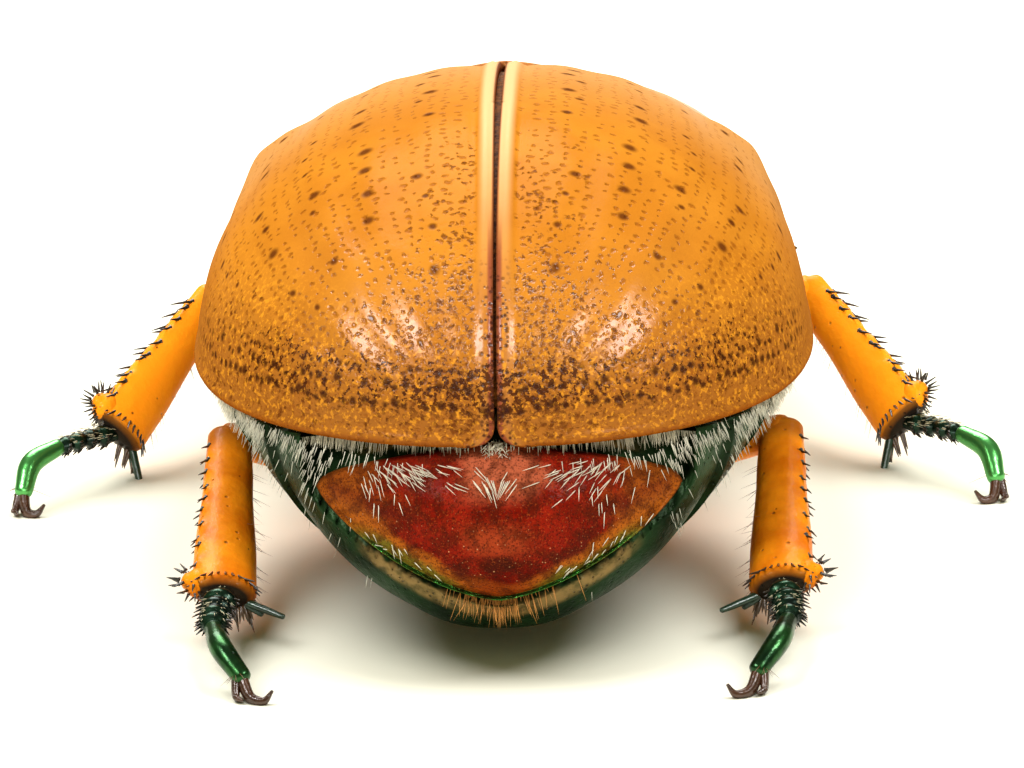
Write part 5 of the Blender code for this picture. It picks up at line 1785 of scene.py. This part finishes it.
def feeler_club_skin():
    """Three long leaves, fanned out."""
    across = FEELER_REACH.cross(UP).normalized()
    root = Vector(FEELER_PATH[-1]) + FEELER_REACH * 0.75
    parts = []
    for spread in (-1, 0, 1):
        tilt = LEAF_SPREAD * spread
        towards = FEELER_REACH * math.cos(tilt) + across * math.sin(tilt)
        reach = LEAF_LENGTH - 0.15 * abs(spread)
        path = [root + towards * reach * share for share in (-0.02, 0.12, 0.35, 0.68, 1.0)]
        parts.append((*limb(path, LEAF_RADII, UP, 20, 6), 0))
    return shape_object("feeler_club_skin_right", parts, [FEELER])


def mouth_feeler_skin():
    path = smooth_path(MOUTH_FEELER_PATH, 4)
    shape = limb(path, [(w, w) for w in MOUTH_FEELER_WIDTHS], UP, 18, 4)
    return shape_object("mouth_feeler_skin_right", [(*shape, 0)], [FEELER])


settle(collar_skin(), "neck_shield", "collar")
settle(shield_skin(), "neck_shield", "shield")
settle(head_skin(), "head", "head")
settle_pair(eye_skin(), "eyes", "eye")
settle_pair(feeler_stalk_skin(), "feelers", "feeler_stalk")
settle_pair(feeler_club_skin(), "feelers", "feeler_club")
settle_pair(mouth_feeler_skin(), "feelers", "mouth_feeler")

# The table top, lights and camera
# A white sheet under soft boxes, seen from behind and a little above, as the beetle was
# photographed.

SHEET_HALF_WIDTH = 600
VIEW_TILT = math.radians(20.5)
VIEW_YAW = math.radians(-1.5)
VIEW_ROLL = math.radians(-1.4)
VIEW_PLACE = Vector((4.28, -161.05, 62.28)) * MM
FOCAL_PIXELS = 7520
PICTURE_WIDTH = 1024
SENSOR = 36
LIGHT_AIM = Vector((0, -4, 5))
ROOM_COLOUR = (0.95, 1.0, 0.58, 1)
ROOM_STRENGTH = 0.2


def white_sheet():
    mesh = bpy.data.meshes.new("sheet")
    half = SHEET_HALF_WIDTH * MM
    corners = [(-half, -half, 0), (half, -half, 0), (half, half, 0), (-half, half, 0)]
    mesh.from_pydata(corners, [], [(0, 1, 2, 3)])
    paper = Finish("sheet_white", (0.93, 0.90, 0.76), 0.6)
    paper.blend((0.92, 0.89, 0.73), (0.94, 0.91, 0.77), paper.drift(0.05, 2, 0.3, 0.7))
    mesh.materials.append(paper.done())
    sheet = put("sheet", mesh)
    return sheet


def light_only(lamp, things):
    """Lets a light fall on these objects alone."""
    group = bpy.data.collections.new(lamp.name + "_lit")
    for thing in things:
        group.objects.link(thing)
    lamp.light_linking.receiver_collection = group


def soft_box(name, place, width, height, power):
    """A rectangular light at a place in mm, turned to the beetle."""
    lamp = bpy.data.lights.new(name, "AREA")
    lamp.shape = "RECTANGLE"
    lamp.size = width * MM
    lamp.size_y = height * MM
    lamp.energy = power
    box = put(name, lamp)
    box.location = Vector(place) * MM
    towards = (LIGHT_AIM - Vector(place)).normalized()
    box.rotation_euler = towards.to_track_quat("-Z", "Y").to_euler()
    return box


def wide_light(name, power, angle, tilt, aside):
    """Even light from behind the beetle. Tilt and aside are its leans from straight above."""
    lamp = bpy.data.lights.new(name, "SUN")
    lamp.energy = power
    lamp.angle = math.radians(angle)
    made = put(name, lamp)
    made.rotation_euler = (math.radians(-tilt), math.radians(aside), 0)
    return made


def set_camera():
    across, ahead = math.sin(VIEW_YAW), math.cos(VIEW_YAW)
    forward = Vector((across * math.cos(VIEW_TILT), ahead * math.cos(VIEW_TILT), -math.sin(VIEW_TILT)))
    level = Vector((ahead, -across, 0))
    upward = level.cross(forward)
    right = level * math.cos(VIEW_ROLL) + upward * math.sin(VIEW_ROLL)
    upward = upward * math.cos(VIEW_ROLL) - level * math.sin(VIEW_ROLL)
    turn = Matrix((right, upward, -forward)).transposed().to_4x4()
    camera = put("camera", bpy.data.cameras.new("camera"))
    camera.matrix_world = Matrix.Translation(VIEW_PLACE) @ turn
    camera.data.sensor_width = SENSOR
    camera.data.lens = FOCAL_PIXELS / PICTURE_WIDTH * SENSOR
    camera.data.clip_start = 10 * MM
    bpy.context.scene.camera = camera


def set_room():
    """Faint warm light from all round."""
    world = bpy.data.worlds.new("studio")
    world.use_nodes = True
    background = world.node_tree.nodes["Background"]
    background.inputs["Color"].default_value = ROOM_COLOUR
    background.inputs["Strength"].default_value = ROOM_STRENGTH
    bpy.context.scene.world = world
    bpy.context.scene.view_settings.view_transform = "Standard"


animal = [thing for thing in bpy.context.scene.objects if thing.type == "MESH"]
outer_legs = [thing for thing in animal if thing.name.startswith("middle")]
sheet = white_sheet()
light_only(soft_box("box_left", (-50, -42, 64), 28, 22, 0.07), animal)
light_only(soft_box("box_right", (52, -42, 62), 28, 22, 0.07), animal)
light_only(wide_light("sky", 4.4, 40, 40, -7), animal)
light_only(soft_box("leg_card", (0, -70, 25), 60, 30, 0.034), outer_legs)
light_only(wide_light("sheet_left", 4.2, 44, 20, -30), [sheet])
light_only(wide_light("sheet_right", 4.2, 44, 20, 30), [sheet])
set_room()
set_camera()
